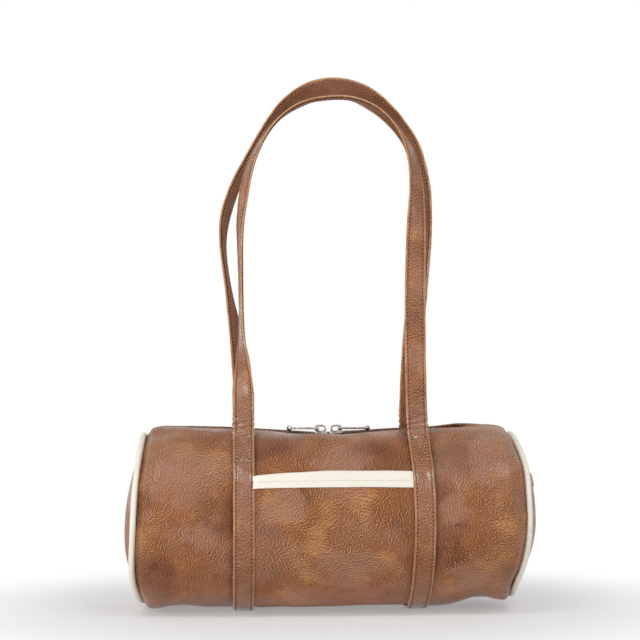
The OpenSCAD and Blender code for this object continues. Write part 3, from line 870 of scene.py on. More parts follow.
def makeSlipPocket():
    # A disc cut off straight at its mouth, filled between its four borders
    s = slipShape
    half = math.sqrt(s["radius"] ** 2 - s["mouth"] ** 2)
    start = math.atan2(s["mouth"], half)
    rows, cols = s["grid"]

    def arc(first, last, count):
        angle = np.linspace(first, last, count)
        return s["radius"] * np.stack([np.cos(angle), np.sin(angle)], 1)

    mouthLine = np.stack([np.linspace(-half, half, cols), np.full(cols, s["mouth"])], 1)
    bottom = arc(math.pi - start + s["side"], 2 * math.pi + start - s["side"], cols)
    plan = coons(mouthLine, bottom, arc(math.pi - start, math.pi - start + s["side"], rows),
                 arc(start, start - s["side"], rows))
    y, h = plan[..., 0], plan[..., 1]
    makeSheet("slipPocket", slipPoint(y, h, s["thick"]), slipPoint(y, h, 0.0),
              np.stack([s["mapPlace"] + y, h], -1), leather, "leather", ["end_pocket_panel"])

    # The hem is the mouth's edge folded out and sewn down along its lower edge
    foot = s["mouth"] - s["hem"]
    rows, cols = s["hemGrid"]
    t, h = np.meshgrid(np.linspace(-1, 1, rows), np.linspace(s["mouth"] + s["hemEdge"], foot, cols),
                       indexing="ij")
    y = t * (np.sqrt(s["radius"] ** 2 - h * h) - s["hemEdge"])
    low = h - foot
    crown = ridge(low, s["hemBead"]) - ridge(low, s["hemChannel"])
    base = s["thick"] + s["hemGap"]
    wear = s["mouthWear"] * (1 - ramp(*s["mouthReach"], s["mouth"] - h))
    wear = wear + s["footWear"] * (1 - ramp(*s["footReach"], low))
    makeSheet("slipHem", slipPoint(y, h, base + s["hemThick"] + crown), slipPoint(y, h, base),
              np.stack([s["mapPlace"] + y, s["hemMapPlace"] + h], -1), leather, "strap_leather",
              ["end_pocket_hem"], wear=wear, rimWear=s["rim"])

    y = np.linspace(-half + s["threadEnd"], half - s["threadEnd"], s["threadPoints"])
    h = np.full_like(y, foot + s["hemChannel"][1])
    face = slipPoint(y, h, base + s["hemThick"] - s["threadDepth"])
    piece = newPiece()
    addStitches(piece, face, np.tile([1.0, 0, 0], (len(y), 1)))
    finishPiece(piece, "slipThread", threadBrown, "bag")


# Straps

strapShape = {
    "leave": math.radians(64),
    "foot": 4.5,  # from the barrel's face out to the line that the handle hinges on
    "rise": 298.0,
    "topY": {1: 8.0, -1: 6.0},
    "half": 9.0,
    "face": 1.3,  # half the strap's thickness
    "stitch": 6.4,  # from the strap's middle to its rows of stitches
    "fold": 8.2,  # and to its folded edges
    "spacing": 1.25,  # between the strap's rows of points
    "leatherInner": -0.1,  # the leather's inner face along the handle, where webbing lies on it
    "bandGap": 0.15, "bandPress": 0.45, "floorGap": 0.02,  # how the strap lies on the bag
    "bandEnd": math.radians(31),
    "boxLow": math.radians(51),
    "boxHeight": 31.0,
    "joinRise": 0.045,  # share of the rise at which the path is the handle's own
    "joinPoints": 16,
    "slackLength": 18,  # the path is evened out over about this length
    "onBag": (-10, 6), "bend": (3, 8.0),  # from the hinge line: where the strap lets go and bends
    "blendLow": (37.0, 153.5), "blendHigh": (36.4, 172.0),  # the same for its bodies: y and height
}

# The strap's face across and along, in millimetres; a field is a size and a seed
strapFaceShape = {
    "crown": 0.3, "crownOnHandle": 0.6,
    "channel": (0.3, strapShape["stitch"], 0.75), "foldBead": (0.1, strapShape["fold"], 0.8),
    "dent": 0.12, "dentField": (11, 31), "ripple": 0.07, "rippleField": (5, 33),
    "crease": 1.15, "creasePitch": 5.2, "creaseSlant": 0.2, "creaseStray": 0.9, "creaseField": (18, 35),
    "creaseBehind": 0.2,  # share of the creases on the inner face
    "boxInset": 0.5,  # from the rows of stitches in to the sewn box
    "boxEnds": (-0.05, 0.02, 0.98, 1.05), "boxSide": 1.2, "boxShrink": 0.9,
    "quilt": 0.62, "quiltReach": 2.6, "quiltSink": 0.42,
    "edgeStray": 0.012, "edgeField": (22, 51),
    "wear": 0.72, "wearPatch": 0.25, "wearField": (9, 61), "wearFrom": (0.7, 0.2),
    "bendWear": 0.2, "bendField": (6, 62), "rim": 0.9,
    "mapPlace": 40,
    "columns": ((-1, -0.84, 4), (-0.8, -0.55, 7), (-0.42, 0.42, 7), (0.55, 0.8, 7), (0.84, 1, 4)),
}

# Knots of each loop, left to right: shares of half the strap spacing and of the rise, then the
# twist in degrees away from facing the front or the rear
loopShares = {
    1: [(-1, 0, 0), (-1, 0.09, 4), (-1.005, 0.18, 48), (-1.02, 0.28, 80), (-1.03, 0.44, 84),
        (-1.035, 0.57, 76), (-0.995, 0.67, 66), (-0.91, 0.765, 72), (-0.76, 0.845, 82),
        (-0.56, 0.905, 88), (-0.3, 0.945, 90), (0, 0.96, 90), (0.28, 0.958, 90), (0.56, 0.93, 88),
        (0.8, 0.875, 78), (0.95, 0.8, 62), (1.01, 0.7, 45), (1.005, 0.58, 20), (0.99, 0.42, 4),
        (0.985, 0.25, 0), (0.99, 0.1, 0), (1, 0, 0)],
    -1: [(-1, 0, 0), (-1, 0.08, 4), (-1.01, 0.17, 22), (-1.08, 0.285, 52), (-1.17, 0.41, 76),
         (-1.23, 0.53, 76), (-1.2, 0.62, 61), (-1.08, 0.71, 62), (-0.93, 0.785, 66),
         (-0.76, 0.86, 68), (-0.58, 0.92, 58), (-0.36, 0.963, 32), (-0.12, 0.99, 10),
         (0.12, 0.996, 2), (0.36, 0.982, 10), (0.6, 0.945, 32), (0.82, 0.892, 48),
         (1.01, 0.82, 49), (1.12, 0.71, 41), (1.14, 0.58, 34), (1.1, 0.44, 24), (1.04, 0.27, 6),
         (1.01, 0.12, 0), (1, 0, 0)],
}


def catmull(knots, steps):
    # A curve through every knot, whose slope there is half the way between its neighbours
    padded = np.concatenate([knots[:1], knots, knots[-1:]])
    a, b, c, d = (padded[k:len(padded) - 3 + k, None] for k in range(4))
    t = (np.arange(steps) / steps)[None, :, None]
    curve = 0.5 * (2 * b + (c - a) * t + (2 * a - 5 * b + 4 * c - d) * t ** 2
                   + (3 * b - a - 3 * c + d) * t ** 3)
    return np.concatenate([curve.reshape(-1, knots.shape[1]), knots[-1:]])


def loopCurve(face):
    # The handle's middle line and, for each point, the direction across the strap
    s = strapShape
    reach = radius + s["foot"]
    footY, footZ = reach * math.cos(s["leave"]), axis + reach * math.sin(s["leave"])
    shares = np.array(loopShares[face], float)
    knots = np.stack([
        shares[:, 0] * bagSize["strapX"],
        -face * (footY + (s["topY"][face] - footY) * shares[:, 1]),
        footZ + s["rise"] * shares[:, 1],
        np.radians(shares[:, 2])], 1)
    curve = catmull(knots, 12)
    place, twist = curve[:, :3], curve[:, 3:]
    along = unit(np.gradient(place, axis=0))
    out = unit(stack(-along[:, 2], 0.0, along[:, 0]))
    front = np.cross(along, out)
    normal = face * np.cos(twist) * front + np.sin(twist) * out
    return place, np.cross(normal, along)


def bandCurve(face, side):
    # From under the bag up to the stitched box: it lies on the leather, a little pressed in
    s = strapShape
    a = np.linspace(math.pi, s["bandEnd"], 150)
    where = a if face > 0 else 2 * math.pi - a
    lift = s["face"] + s["bandGap"] - s["bandPress"] * np.sin(a)
    x = strapCentre(side, where)
    path = onBody(x, where, lift)
    path[:, 0] = x
    path[:, 2] = np.maximum(path[:, 2], s["face"] + s["floorGap"])
    return path


def bridge(start, startWay, stop, stopWay, count):
    # A cubic from one point and direction to another
    t = np.linspace(0, 1, count + 2)[1:-1, None]
    size = np.linalg.norm(stop - start)
    return ((2 * t ** 3 - 3 * t ** 2 + 1) * start + (t ** 3 - 2 * t ** 2 + t) * startWay * size
            + (3 * t ** 2 - 2 * t ** 3) * stop + (t ** 3 - t ** 2) * stopWay * size)


def strapPath(face, spacing):
    # The whole strap: under the bag, up, round the loop and down again, with the directions
    # along it, across it and out of its face at every point
    shape = strapShape
    gap = shape["joinPoints"]
    loop, across = loopCurve(face)
    rise = (loop[:, 2] - loop[0, 2]) / shape["rise"]
    inside = np.where(rise > shape["joinRise"])[0]
    first, last = inside[0], inside[-1]
    left, right = bandCurve(face, -1), bandCurve(face, 1)[::-1]
    leftWay, rightWay = unit(left[-1] - left[-2]), unit(right[1] - right[0])
    loopWay = unit(np.gradient(loop, axis=0))
    joinLeft = bridge(left[-1], leftWay, loop[first], loopWay[first], gap)
    joinRight = bridge(loop[last], loopWay[last], right[0], rightWay, gap)
    path = np.concatenate([left, joinLeft, loop[first:last + 1], joinRight, right])
    wide = np.concatenate([
        np.tile(across[0], (len(left) + gap, 1)), across[first:last + 1],
        np.tile(across[-1], (len(right) + gap, 1))])
    distance = arcLength(path)
    s = np.linspace(0, distance[-1], int(distance[-1] / spacing))
    path, wide = sampleAt(path, distance, s), sampleAt(wide, distance, s)
    passes = int(shape["slackLength"] / spacing)
    path, wide = smoothed(path, passes), unit(smoothed(wide, passes * 3))
    along = unit(np.gradient(path, axis=0))
    out = unit(np.cross(along, wide))
    return path, np.cross(out, along), out, arcLength(path)


def strapFace(s, w, onBand, bend, box):
    # Height of the strap's outer face: crowned between two sewn channels, with folded edges,
    # quilted by the sewn box, and wrinkled across where it bends away from the bag. The box runs
    # from 0 to 1 along the strap
    shape, stitch = strapFaceShape, strapShape["stitch"]
    far = np.abs(w)
    reach = stitch - shape["boxInset"]
    start, full, fade, end = shape["boxEnds"]
    inBox = ramp(start, full, box) * (1 - ramp(fade, end, box))
    inBox = inBox * (1 - ramp(reach, reach + shape["boxSide"], far))
    cross = reach * (2 * box - 1)
    nearest = np.minimum(np.abs(w - cross), np.abs(w + cross)) * shape["boxShrink"]
    nearest = np.minimum(nearest, np.minimum(np.abs(box), np.abs(1 - box)) * strapShape["boxHeight"])
    crown = shape["crownOnHandle"] + (1 - shape["crownOnHandle"]) * onBand
    face = strapShape["face"] + shape["crown"] * (1 - ramp(0, stitch, far)) * crown
    face = face - ridge(far, shape["channel"]) + ridge(far, shape["foldBead"])
    line = stack(s, w, np.zeros_like(s * w))
    face = face + shape["dent"] * wander(line, *shape["dentField"])
    face = face + shape["ripple"] * wander(line, *shape["rippleField"])
    stray = shape["creaseStray"] * wander(line, *shape["creaseField"])
    crease = np.sin(2 * math.pi * (s + stray) / shape["creasePitch"] + shape["creaseSlant"] * w)
    quilt = shape["quilt"] * ramp(0.0, shape["quiltReach"], nearest) - shape["quiltSink"]
    return face + shape["crease"] * crease * bend + inBox * quilt


def strapNumbers(face, spacing):
    # Along the strap: how much it lies on the bag, and how much it bends away from it
    shape = strapShape
    path, across, out, s = strapPath(face, spacing)
    foot = axis + (radius + shape["foot"]) * math.sin(shape["leave"])
    start, stop = shape["onBag"]
    onBand = 1 - ramp(foot + start, foot + stop, path[:, 2])
    place, width = shape["bend"]
    bend = bell(path[:, 2], foot + place, width)
    low = boxStart(face)
    box = np.where(s < s[-1] / 2, s - low, s[-1] - low - s) / shape["boxHeight"]
    return path, across, out, s, onBand, bend, box


def boxStart(face):
    # Length of strap from under the bag to the foot of its sewn box
    s = strapShape
    foot = arcLength(bandCurve(face, -1))
    return np.interp(math.pi - s["boxLow"], np.linspace(0, math.pi - s["bandEnd"], len(foot)), foot)


def strapBlend(face):
    # The bag, the loop's body and two points, low and high, where the strap goes from one to the other;
    # dress does not use them and bakes the strap in place
    low, high = (tuple(np.array([0, -face * y, z]) * mm)
                 for y, z in (strapShape["blendLow"], strapShape["blendHigh"]))
    return ("bag", "handle_front" if face > 0 else "handle_rear", low, high)


def sheetBetween(path, across, out, w, top, bottom):
    # The two faces of a band: a path, then across it by w and out of it by top or bottom
    middle = path[:, None] + across[:, None] * w[..., None]
    return middle + out[:, None] * top[..., None], middle + out[:, None] * bottom[..., None]


def makeStrap(face, name):
    # The strap's leather, whose edges wander a little and are rubbed pale
    shape, look = strapShape, strapFaceShape
    path, across, out, s, onBand, bend, box = strapNumbers(face, shape["spacing"])
    columns = np.concatenate([np.linspace(*span) for span in look["columns"]])
    inner = -shape["face"] + (shape["leatherInner"] + shape["face"]) * (1 - onBand)
    half = shape["half"] - (shape["face"] - inner) / 2
    edge = 1 + look["edgeStray"] * wander(stack(s, 0.0, 0.0), *look["edgeField"])
    w = columns[None] * (half * edge)[:, None]
    distance = np.repeat(s[:, None], w.shape[1], 1)
    top = strapFace(distance, w, onBand[:, None], bend[:, None], box[:, None])
    bottom = inner[:, None] + look["creaseBehind"] * (top - shape["face"]) * bend[:, None]
    outer, under = sheetBetween(path, across, out, w, top, bottom)
    spot = stack(distance, w, np.zeros_like(w))
    start, full = look["wearFrom"]
    wear = ramp(shape["stitch"] + start, shape["fold"] + full, np.abs(w))
    wear = wear * (look["wear"] + look["wearPatch"] * wander(spot, *look["wearField"]))
    wearAndSheen = np.clip(wander(spot, *look["bendField"]), 0, 1)
    wear = np.clip(wear + look["bendWear"] * bend[:, None] * wearAndSheen, 0, 1)
    makeSheet("strap" + name, outer, under, np.stack([distance, w + look["mapPlace"] * face], -1),
              strapLeather, "strap_leather",
              ["strap_band_left", "strap_band_right", "handle_" + name.lower()],
              strapBlend(face), wear=wear, rimWear=look["rim"])


def makeStrapThread(face, name):
    # Thread along both edges, on the face and, along the handle, on the inside too. A sewn box
    # with a cross, in lighter thread, holds each end to the bag
    shape, look, web = strapShape, threadLook, webShape
    path, across, out, s, onBand, bend, box = strapNumbers(face, shape["spacing"])
    thread, boxThread, holes = newPiece(), newPiece(), newPiece()
    inside = (s > look["pathEnd"]) & (s < s[-1] - look["pathEnd"])
    onHandle = onBand < look["handleShare"]
    rows = []
    for side in (-1, 1):
        w = side * shape["stitch"]
        height = strapFace(s, w, onBand, bend, box) - look["sink"]
        rows.append(((path + across * w + out * height[:, None])[inside], out[inside]))
        row = path + across * (side * web["stitch"])
        row = row + out * (web["faces"][1] + web["stitchSink"])
        addStitches(thread, row[onHandle], -out[onHandle], look["pitch"], look["length"], look["webRadius"])
    boxRows = []
    low, reach = boxStart(face), shape["stitch"] - strapFaceShape["boxInset"]
    for start, way in ((low, 1), (s[-1] - low, -1)):
        a, b = start, start + way * shape["boxHeight"]
        for first, last in (((a, -reach), (a, reach)), ((b, -reach), (b, reach)),
                            ((a, -reach), (b, reach)), ((a, reach), (b, -reach)),
                            ((a, -reach), (b, -reach)), ((a, reach), (b, reach))):
            t = np.linspace(0, 1, look["linePoints"])
            place = first[0] + (last[0] - first[0]) * t
            w = first[1] + (last[1] - first[1]) * t
            p, q, n = (sampleAt(v, s, place) for v in (path, across, out))
            height = strapFace(place, w, *(np.interp(place, s, v) for v in (onBand, bend, box)))
            boxRows.append((p + q * w[:, None] + n * height[:, None], n))
    for row, ups in rows:
        addStitches(thread, row, ups, look["pitch"], look["length"], look["radius"])
    for row, ups in boxRows:
        addStitches(boxThread, row, ups, look["pitch"], look["boxLength"], look["boxRadius"])
    for row, ups in rows + boxRows:
        addStitches(holes, row, ups, look["pitch"], look["holeLength"], look["holeRadius"], True)
    for piece, label, material in ((boxThread, "strapBoxThread", threadTan),
                                   (thread, "strapThread", threadBrown),
                                   (holes, "strapHoles", needleHoleShade)):
        finishPiece(piece, label + name, material, strapBlend(face))


webShape = {
    "half": 6.6, "faces": (-0.35, -1.3), "spacing": 0.5,
    "upTo": 0.75,  # it ends where the strap lies on the bag by this share
    "inset": 0.45, "columns": 11,
    "stitch": 5.7, "stitchSink": 0.2, "channel": 0.12, "channelWide": 0.6,
    "rib": 0.09, "ribPitch": 1.5, "ribFade": (5.0, 6.2), "ribFadeShare": 0.5,
}


def makeWebbing(face, name):
    # A flat woven band with fine ribs across it, sewn inside the handle from box to box
    shape = webShape
    path, across, out, s, onBand = strapNumbers(face, shape["spacing"])[:5]
    keep = onBand < shape["upTo"]
    path, across, out, s = path[keep], across[keep], out[keep], s[keep]
    columns = np.linspace(-1, 1, shape["columns"])
    w = np.repeat(columns[None] * (shape["half"] - shape["inset"]), len(s), 0)
    distance = np.repeat(s[:, None], w.shape[1], 1)
    ribs = shape["rib"] * np.sin(2 * math.pi * distance / shape["ribPitch"])
    ribs = ribs * (1 - shape["ribFadeShare"] * ramp(*shape["ribFade"], np.abs(w)))
    ribs = ribs - shape["channel"] * bell(np.abs(w), shape["stitch"], shape["channelWide"])
    high, low = shape["faces"]
    outer, under = sheetBetween(path, across, out, w, np.full_like(w, high), low - ribs)
    makeSheet("webbing" + name, outer, under, np.stack([distance, w], -1), webbingCloth, "webbing",
              ["handle_" + name.lower() + "_webbing"], strapBlend(face))


# Front pocket

pocketShape = {
    "half": 66.5,
    "foot": math.radians(150),
    "mouthOver": 0.012,  # the panel ends this far below the trim's fold, in radians
    "thick": 1.0, "lining": 0.7,
    "seat": 0.25, "swell": 0.5, "stand": 2.0,  # how far it stands off: all of it, its middle, its mouth
    "standReach": (57, 125),  # degrees from the top
    "soft": 0.3, "softField": (45, 71),
    "liningShare": 0.4, "liningFaces": (0.6, 0.05),
    "seam": (0.3, 3.4, 0.9), "footWear": (0.35, 0.6, 0.8),
    # Painted shade beside each strap, and a narrow painted shadow line along its edge
    "strapWear": 0.3, "strapShadeReach": 8, "strapLine": 0.5, "strapLineReach": 1.6,
    "rim": 0.5,
    "mapPlace": 700,
    "grid": (96, 92),
}
trimShape = {
    "thick": 0.9,
    "x": (-66, -40, 0, 35, 66),
    "high": (60.8, 59.8, 59.0, 58.8, 58.4),  # its upper edge at each x, in degrees from the top
    "low": (67.8, 67.8, 67.7, 67.7, 67.6),
    "inside": 7.0,  # how far it goes down inside the mouth
    "insideGap": 0.15, "outsideGap": 0.1,
    "points": (6, 7, 26),  # inside, round the fold, and outside
    "stitch": 4.9,  # from its lower edge up to its row of stitches
    "channel": 0.22, "channelWide": 0.8, "bead": (0.18, -9, 4),
    "threadSink": 0.22, "threadPitch": 3.4,
}
pocketThreadShape = {"half": 63, "points": 240, "sink": 0.3, "pitch": 4.0, "lengthShare": 0.72,
                     "radius": 0.3}


def trimAngles(x):
    # The trim's upper and lower edge, as angles from the top, evened out over nine points: the
    # mouth rises from the left strap to the middle and falls a little to the right one
    even = np.ones(9) / 9
    edges = (np.interp(x, trimShape["x"], trimShape[k]) for k in ("high", "low"))
    return [np.radians(np.convolve(np.pad(edge, 4, mode="edge"), even, "valid")) for edge in edges]


def pocketLift(x, a):
    # The pocket lies on the bag and stands off it most at its mouth, between the straps
    s = pocketShape
    across = np.clip(1 - (x / s["half"]) ** 2, 0, 1)
    down = 1 - ramp(*np.radians(s["standReach"]), a)
    soft = s["soft"] * wander(stack(x, a * radius, np.zeros_like(x * a)), *s["softField"])
    return s["seat"] + across * (s["swell"] + s["stand"] * down) + soft * across


def makePocket():
    # A panel and its lining from the mouth down to the foot, with painted shade beside the straps
    s = pocketShape
    rows, cols = s["grid"]
    x = np.linspace(-s["half"], s["half"], rows)
    high = trimAngles(x)[0]
    t = np.linspace(0, 1, cols)[None]
    a = (high[:, None] + s["mouthOver"]) * (1 - t) + s["foot"] * t
    wide = np.repeat(x[:, None], a.shape[1], 1)
    lift = pocketLift(wide, a)
    fromFoot = (s["foot"] - a) * radius
    wear = ridge(fromFoot, s["footWear"])
    # Painted shade beside each strap, and a painted shadow line at its edge
    for side in (-1, 1):
        gap = besideStrap(side, wide, a)
        wear = wear - s["strapWear"] * np.exp(-gap / s["strapShadeReach"])
        wear = wear - s["strapLine"] * np.exp(-gap / s["strapLineReach"])
    thick = s["thick"] - ridge(fromFoot, s["seam"])
    makeSheet("pocketPanel", onBody(wide, a, lift + s["lining"] + thick, True),
              onBody(wide, a, lift + s["lining"], True), np.stack([wide, s["mapPlace"] + a * radius], -1),
              leather, "leather", ["front_pocket_panel"], wear=wear, rimWear=s["rim"])
    outer, inner = (onBody(wide, a, lift * s["liningShare"] + face, True) for face in s["liningFaces"])
    makeSheet("pocketLining", outer, inner, np.stack([wide, a * radius], -1), liningCloth,
              "lining_cloth", ["front_pocket_lining"])


def makeTrim():
    # The trim goes down inside the mouth, over its edge in half a circle and down the face again
    s = trimShape
    x = np.linspace(-pocketShape["half"], pocketShape["half"], pocketShape["grid"][0])
    high, low = (edge[:, None] for edge in trimAngles(x))
    inside, turning, outside = s["points"]
    insideHeight = pocketShape["lining"] - s["insideGap"]
    outsideHeight = pocketShape["lining"] + pocketShape["thick"] + s["outsideGap"]
    middle, size = (insideHeight + outsideHeight) / 2, (outsideHeight - insideHeight) / 2
    fold = np.linspace(0, math.pi, turning + 2)[1:-1]
    angle = np.concatenate([
        high + np.linspace(1, 0, inside) * s["inside"] / radius,
        high - np.sin(fold) * size / radius,
        high + (low - high) * np.linspace(0, 1, outside)], 1)
    height = np.concatenate([
        np.full(inside, insideHeight), middle - np.cos(fold) * size, np.full(outside, outsideHeight)])
    # Which way its face looks from each point: out of the bag by lean, and down it by slide
    lean = np.concatenate([-np.ones(inside), -np.cos(fold), np.ones(outside)])
    slide = np.concatenate([np.zeros(inside), np.sin(fold), np.zeros(outside)])
    wide = np.repeat(x[:, None], angle.shape[1], 1)
    fromLow = (angle - low) * radius
    onFace = np.arange(angle.shape[1]) >= inside + turning
    channel = s["channel"] * bell(fromLow, -s["stitch"], s["channelWide"])
    thick = s["thick"] + np.where(onFace, ridge(fromLow, s["bead"]) - channel, 0)
    lift = pocketLift(wide, np.maximum(angle, high)) + height
    outer = onBody(wide, angle - slide * thick / radius, lift + lean * thick, True)
    inner = onBody(wide, angle, lift, True)
    makeSheet("pocketTrim", outer, inner, np.stack([wide, angle * radius + height], -1), creamLeather,
              "cream_trim", ["front_pocket_trim"])


def makePocketThread():
    # One row of stitches along the trim, and one along the pocket's foot
    s, t = pocketThreadShape, trimShape
    rows = np.linspace(-s["half"], s["half"], s["points"])
    over = pocketShape["lining"] + pocketShape["thick"]
    trimRow = trimAngles(rows)[1] - t["stitch"] / radius
    trimLift = over + t["outsideGap"] + t["thick"] - t["threadSink"]
    footRow = np.full_like(rows, pocketShape["foot"] - pocketShape["seam"][1] / radius)
    for label, angle, extra, material, pitch, slot in (
        ("trimThread", trimRow, trimLift, threadCream, t["threadPitch"], "cream_trim"),
        ("pocketThread", footRow, over - s["sink"], threadBrown, s["pitch"], "leather"),
    ):
        piece = newPiece()
        lift = pocketLift(rows, angle) + extra
        face = onBody(rows, angle, lift, True)
        out = onBody(rows, angle, lift + 1, True) - face
        addStitches(piece, face, out, pitch, pitch * s["lengthShare"], s["radius"])
        finishPiece(piece, label, material, "bag")


# Zip

zipShape = {
    "half": 135.6,
    "tapeIn": 3.1, "tapeOut": 15.0, "tapeDepth": 1.85, "tapeThick": 0.55,
    "tapeSplit": (10, 11), "tapeGrid": (220, 14, 4),  # the seen and the sewn part of a tape
    "tapeSlope": (4.8, 11.2),  # over which it falls to the sagging leather
    "weave": 0.04, "weavePitch": 1.6,
    "coilHalf": 123.5, "coilDepth": 2.05, "coilY": 1.72, "coilWide": 1.6, "coilHigh": 0.95,
    "wire": 0.36, "wireRound": 2.3, "pitch": 1.35, "perTurn": 10, "sides": 6,
}
tabShape = {
    "inner": 123.8, "outer": 135.4, "half": 10.2, "thick": 1.3,
    "depth": 0.25, "dent": 0.12, "dentSize": 9, "dentSeed": 81,
    "stitch": 2.2, "channel": 0.25, "channelWide": 0.8,
    "wear": 0.5, "wearReach": 1.0, "rim": 0.5, "mapApart": 900,
    "threadHalf": 9, "threadDepth": 0.45, "threadPitch": 3.2, "threadLength": 2.4,
    "grid": (16, 26), "threadPoints": 40,
}


def zipPlace(x, y, inset):
    # A point of the zip by its place along and across, under the leather's face by inset
    top = topHeight(x) - axis
    return onBody(x, y / top, -inset)


def makeZip(side, name):
    # Front tape at side -1, rear tape at side 1, and the front one slopes down to the sagging
    # leather; the coil is a spiral, flattened, along its edge
    s = zipShape
    seen, sewn = s["tapeSplit"]
    rows, seenCols, sewnCols = s["tapeGrid"]
    across = np.concatenate([np.linspace(s["tapeIn"], seen, seenCols),
                             np.linspace(sewn, s["tapeOut"], sewnCols)])
    x, y = np.meshgrid(np.linspace(-s["half"], s["half"], rows), across, indexing="ij")
    weave = s["weave"] * np.sin(2 * math.pi * y / s["weavePitch"])
    share = 1.0 if side < 0 else reliefShape["rearSagShare"]
    depth = s["tapeDepth"] + zipSag(x) * ramp(*s["tapeSlope"], y) * share
    makeSheet("zipTape" + name, zipPlace(x, -side * y, depth - weave),
              zipPlace(x, -side * y, depth + s["tapeThick"]), np.stack([x, side * y], -1),
              zipCloth, "zip_tape", ["zip_tape_" + name.lower()])

    turns = 2 * s["coilHalf"] / s["pitch"]
    t = np.arange(int(turns * s["perTurn"])) / s["perTurn"] * 2 * math.pi
    x = -s["coilHalf"] + t / (2 * math.pi) * s["pitch"]
    shift = 0.0 if side < 0 else math.pi
    y = side * (s["coilY"] + s["coilWide"] * np.cos(t + shift))
    z = -s["coilDepth"] + s["coilHigh"] * np.sin(t + shift)
    centre = zipPlace(x, np.zeros_like(x), 0.0)
    centre = stack(centre[:, 0], y, centre[:, 2] + z)
    along = unit(np.gradient(centre, axis=0))
    radial = unit(stack(0.0, side * np.cos(t + shift), np.sin(t + shift)))
    other = unit(np.cross(along, radial))
    radial = np.cross(other, along)
    b = np.arange(s["sides"]) / s["sides"] * 2 * math.pi
    tube = centre[:, None] + s["wire"] * (radial[:, None] * np.cos(b)[None, :, None]
                                          + other[:, None] * np.sin(b)[None, :, None])
    piece = newPiece()
    addTube(piece, tube, tubeUv(s["sides"], arcLength(centre), s["wireRound"]))
    finishPiece(piece, "zipCoil" + name, coilNylon, "bag", ["zip_coil_" + name.lower()])


def makeZipTab(side, name):
    # A piece of leather over the end of the zip, under the folded edges
    s = tabShape
    rows, cols = s["grid"]
    x, y = np.meshgrid(np.linspace(s["inner"], s["outer"], rows),
                       np.linspace(-s["half"], s["half"], cols), indexing="ij")
    dent = s["dent"] * wander(stack(x, y, 0.0), s["dentSize"], s["dentSeed"] + side)
    rise = dent - s["channel"] * bell(x, s["inner"] + s["stitch"], s["channelWide"])
    wear = s["wear"] * (1 - ramp(0, s["wearReach"], x - s["inner"]))
    makeSheet("zipEndTab" + name, zipPlace(side * x, y, s["depth"] - rise),
              zipPlace(side * x, y, s["depth"] + s["thick"]), np.stack([x + side * s["mapApart"], y], -1),
              leather, "leather", ["zip_end_tab_" + name.lower()], wear=wear, rimWear=s["rim"])
    rows = np.linspace(-s["threadHalf"], s["threadHalf"], s["threadPoints"])
    place = np.full_like(rows, side * (s["inner"] + s["stitch"]))
    face = zipPlace(place, rows, s["threadDepth"])
    piece = newPiece()
    addStitches(piece, face, np.tile([0, 0, 1.0], (len(rows), 1)), s["threadPitch"], s["threadLength"])
    finishPiece(piece, "tabThread" + name, threadBrown, "bag")


metalFinish = {"merge": 2e-6, "flat": math.radians(0.5), "edge": 0.16, "edgeSteps": 2,
               "edgeAngle": math.radians(32)}


def makeMetal(node, name):
    # The CAD piece with its doubles merged and its edges broken
    s = metalFinish
    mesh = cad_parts[node].data.copy()
    mesh.name = name
    work = bmesh.new()
    work.from_mesh(mesh)
    bmesh.ops.remove_doubles(work, verts=work.verts, dist=s["merge"])
    bmesh.ops.dissolve_limit(work, angle_limit=s["flat"], verts=work.verts, edges=work.edges)
    work.to_mesh(mesh)
    work.free()
    thing = addObject(name, mesh)
    mesh.materials.clear()
    mesh.materials.append(nickel)
    bevel = thing.modifiers.new("edges", "BEVEL")
    bevel.width = s["edge"] * mm
    bevel.segments = s["edgeSteps"]
    bevel.limit_method = "ANGLE"
    bevel.angle_limit = s["edgeAngle"]
    mesh.shade_smooth()
    dress(thing, node, [node])


# Materials


def srgb(red, green, blue):
    # A colour as a paint program shows it, 0 to 255, in the linear values that nodes use
    shares = np.array([red, green, blue]) / 255
    linear = np.where(shares <= 0.04045, shares / 12.92, ((shares + 0.055) / 1.055) ** 2.4)
    return (*(float(v) for v in linear), 1.0)


def addNode(tree, kind, inputs=None, **settings):
    # A node with its settings, whose inputs are values or other nodes' sockets
    node = tree.nodes.new(kind)
    for key, value in settings.items():
        setattr(node, key, value)
    for key, value in (inputs or {}).items():
        if isinstance(value, bpy.types.NodeSocket):
            tree.links.new(value, node.inputs[key])
        else:
            node.inputs[key].default_value = value
    return node


def maths(tree, kind, a, b=0.0, clamp=False):
    return addNode(tree, "ShaderNodeMath", {0: a, 1: b}, operation=kind, use_clamp=clamp).outputs[0]


def plus(tree, a, b):
    return maths(tree, "ADD", a, b)


def times(tree, a, b, clamp=False):
    return maths(tree, "MULTIPLY", a, b, clamp)


def remap(tree, value, low, high, toLow=0.0, toHigh=1.0):
    # Spreads low to high over toLow to toHigh, along an s-curve
    inputs = {"Value": value, "From Min": low, "From Max": high, "To Min": toLow, "To Max": toHigh}
    return addNode(tree, "ShaderNodeMapRange", inputs, interpolation_type="SMOOTHSTEP").outputs["Result"]


def mixColor(tree, factor, a, b):
    node = addNode(tree, "ShaderNodeMix", data_type="RGBA", blend_type="MIX")
    for socket, value in ((node.inputs[0], factor), (node.inputs[6], a), (node.inputs[7], b)):
        if isinstance(value, bpy.types.NodeSocket):
            tree.links.new(value, socket)
        else:
            socket.default_value = value
    return node.outputs[2]


def noise(tree, vector, size, detail=3.0, rough=0.5, distort=0.0):
    # Noise whose features are about size long
    inputs = {"Vector": vector, "Scale": 1.0 / size, "Detail": detail, "Roughness": rough,
              "Distortion": distort}
    return addNode(tree, "ShaderNodeTexNoise", inputs, noise_dimensions="3D").outputs["Fac"]


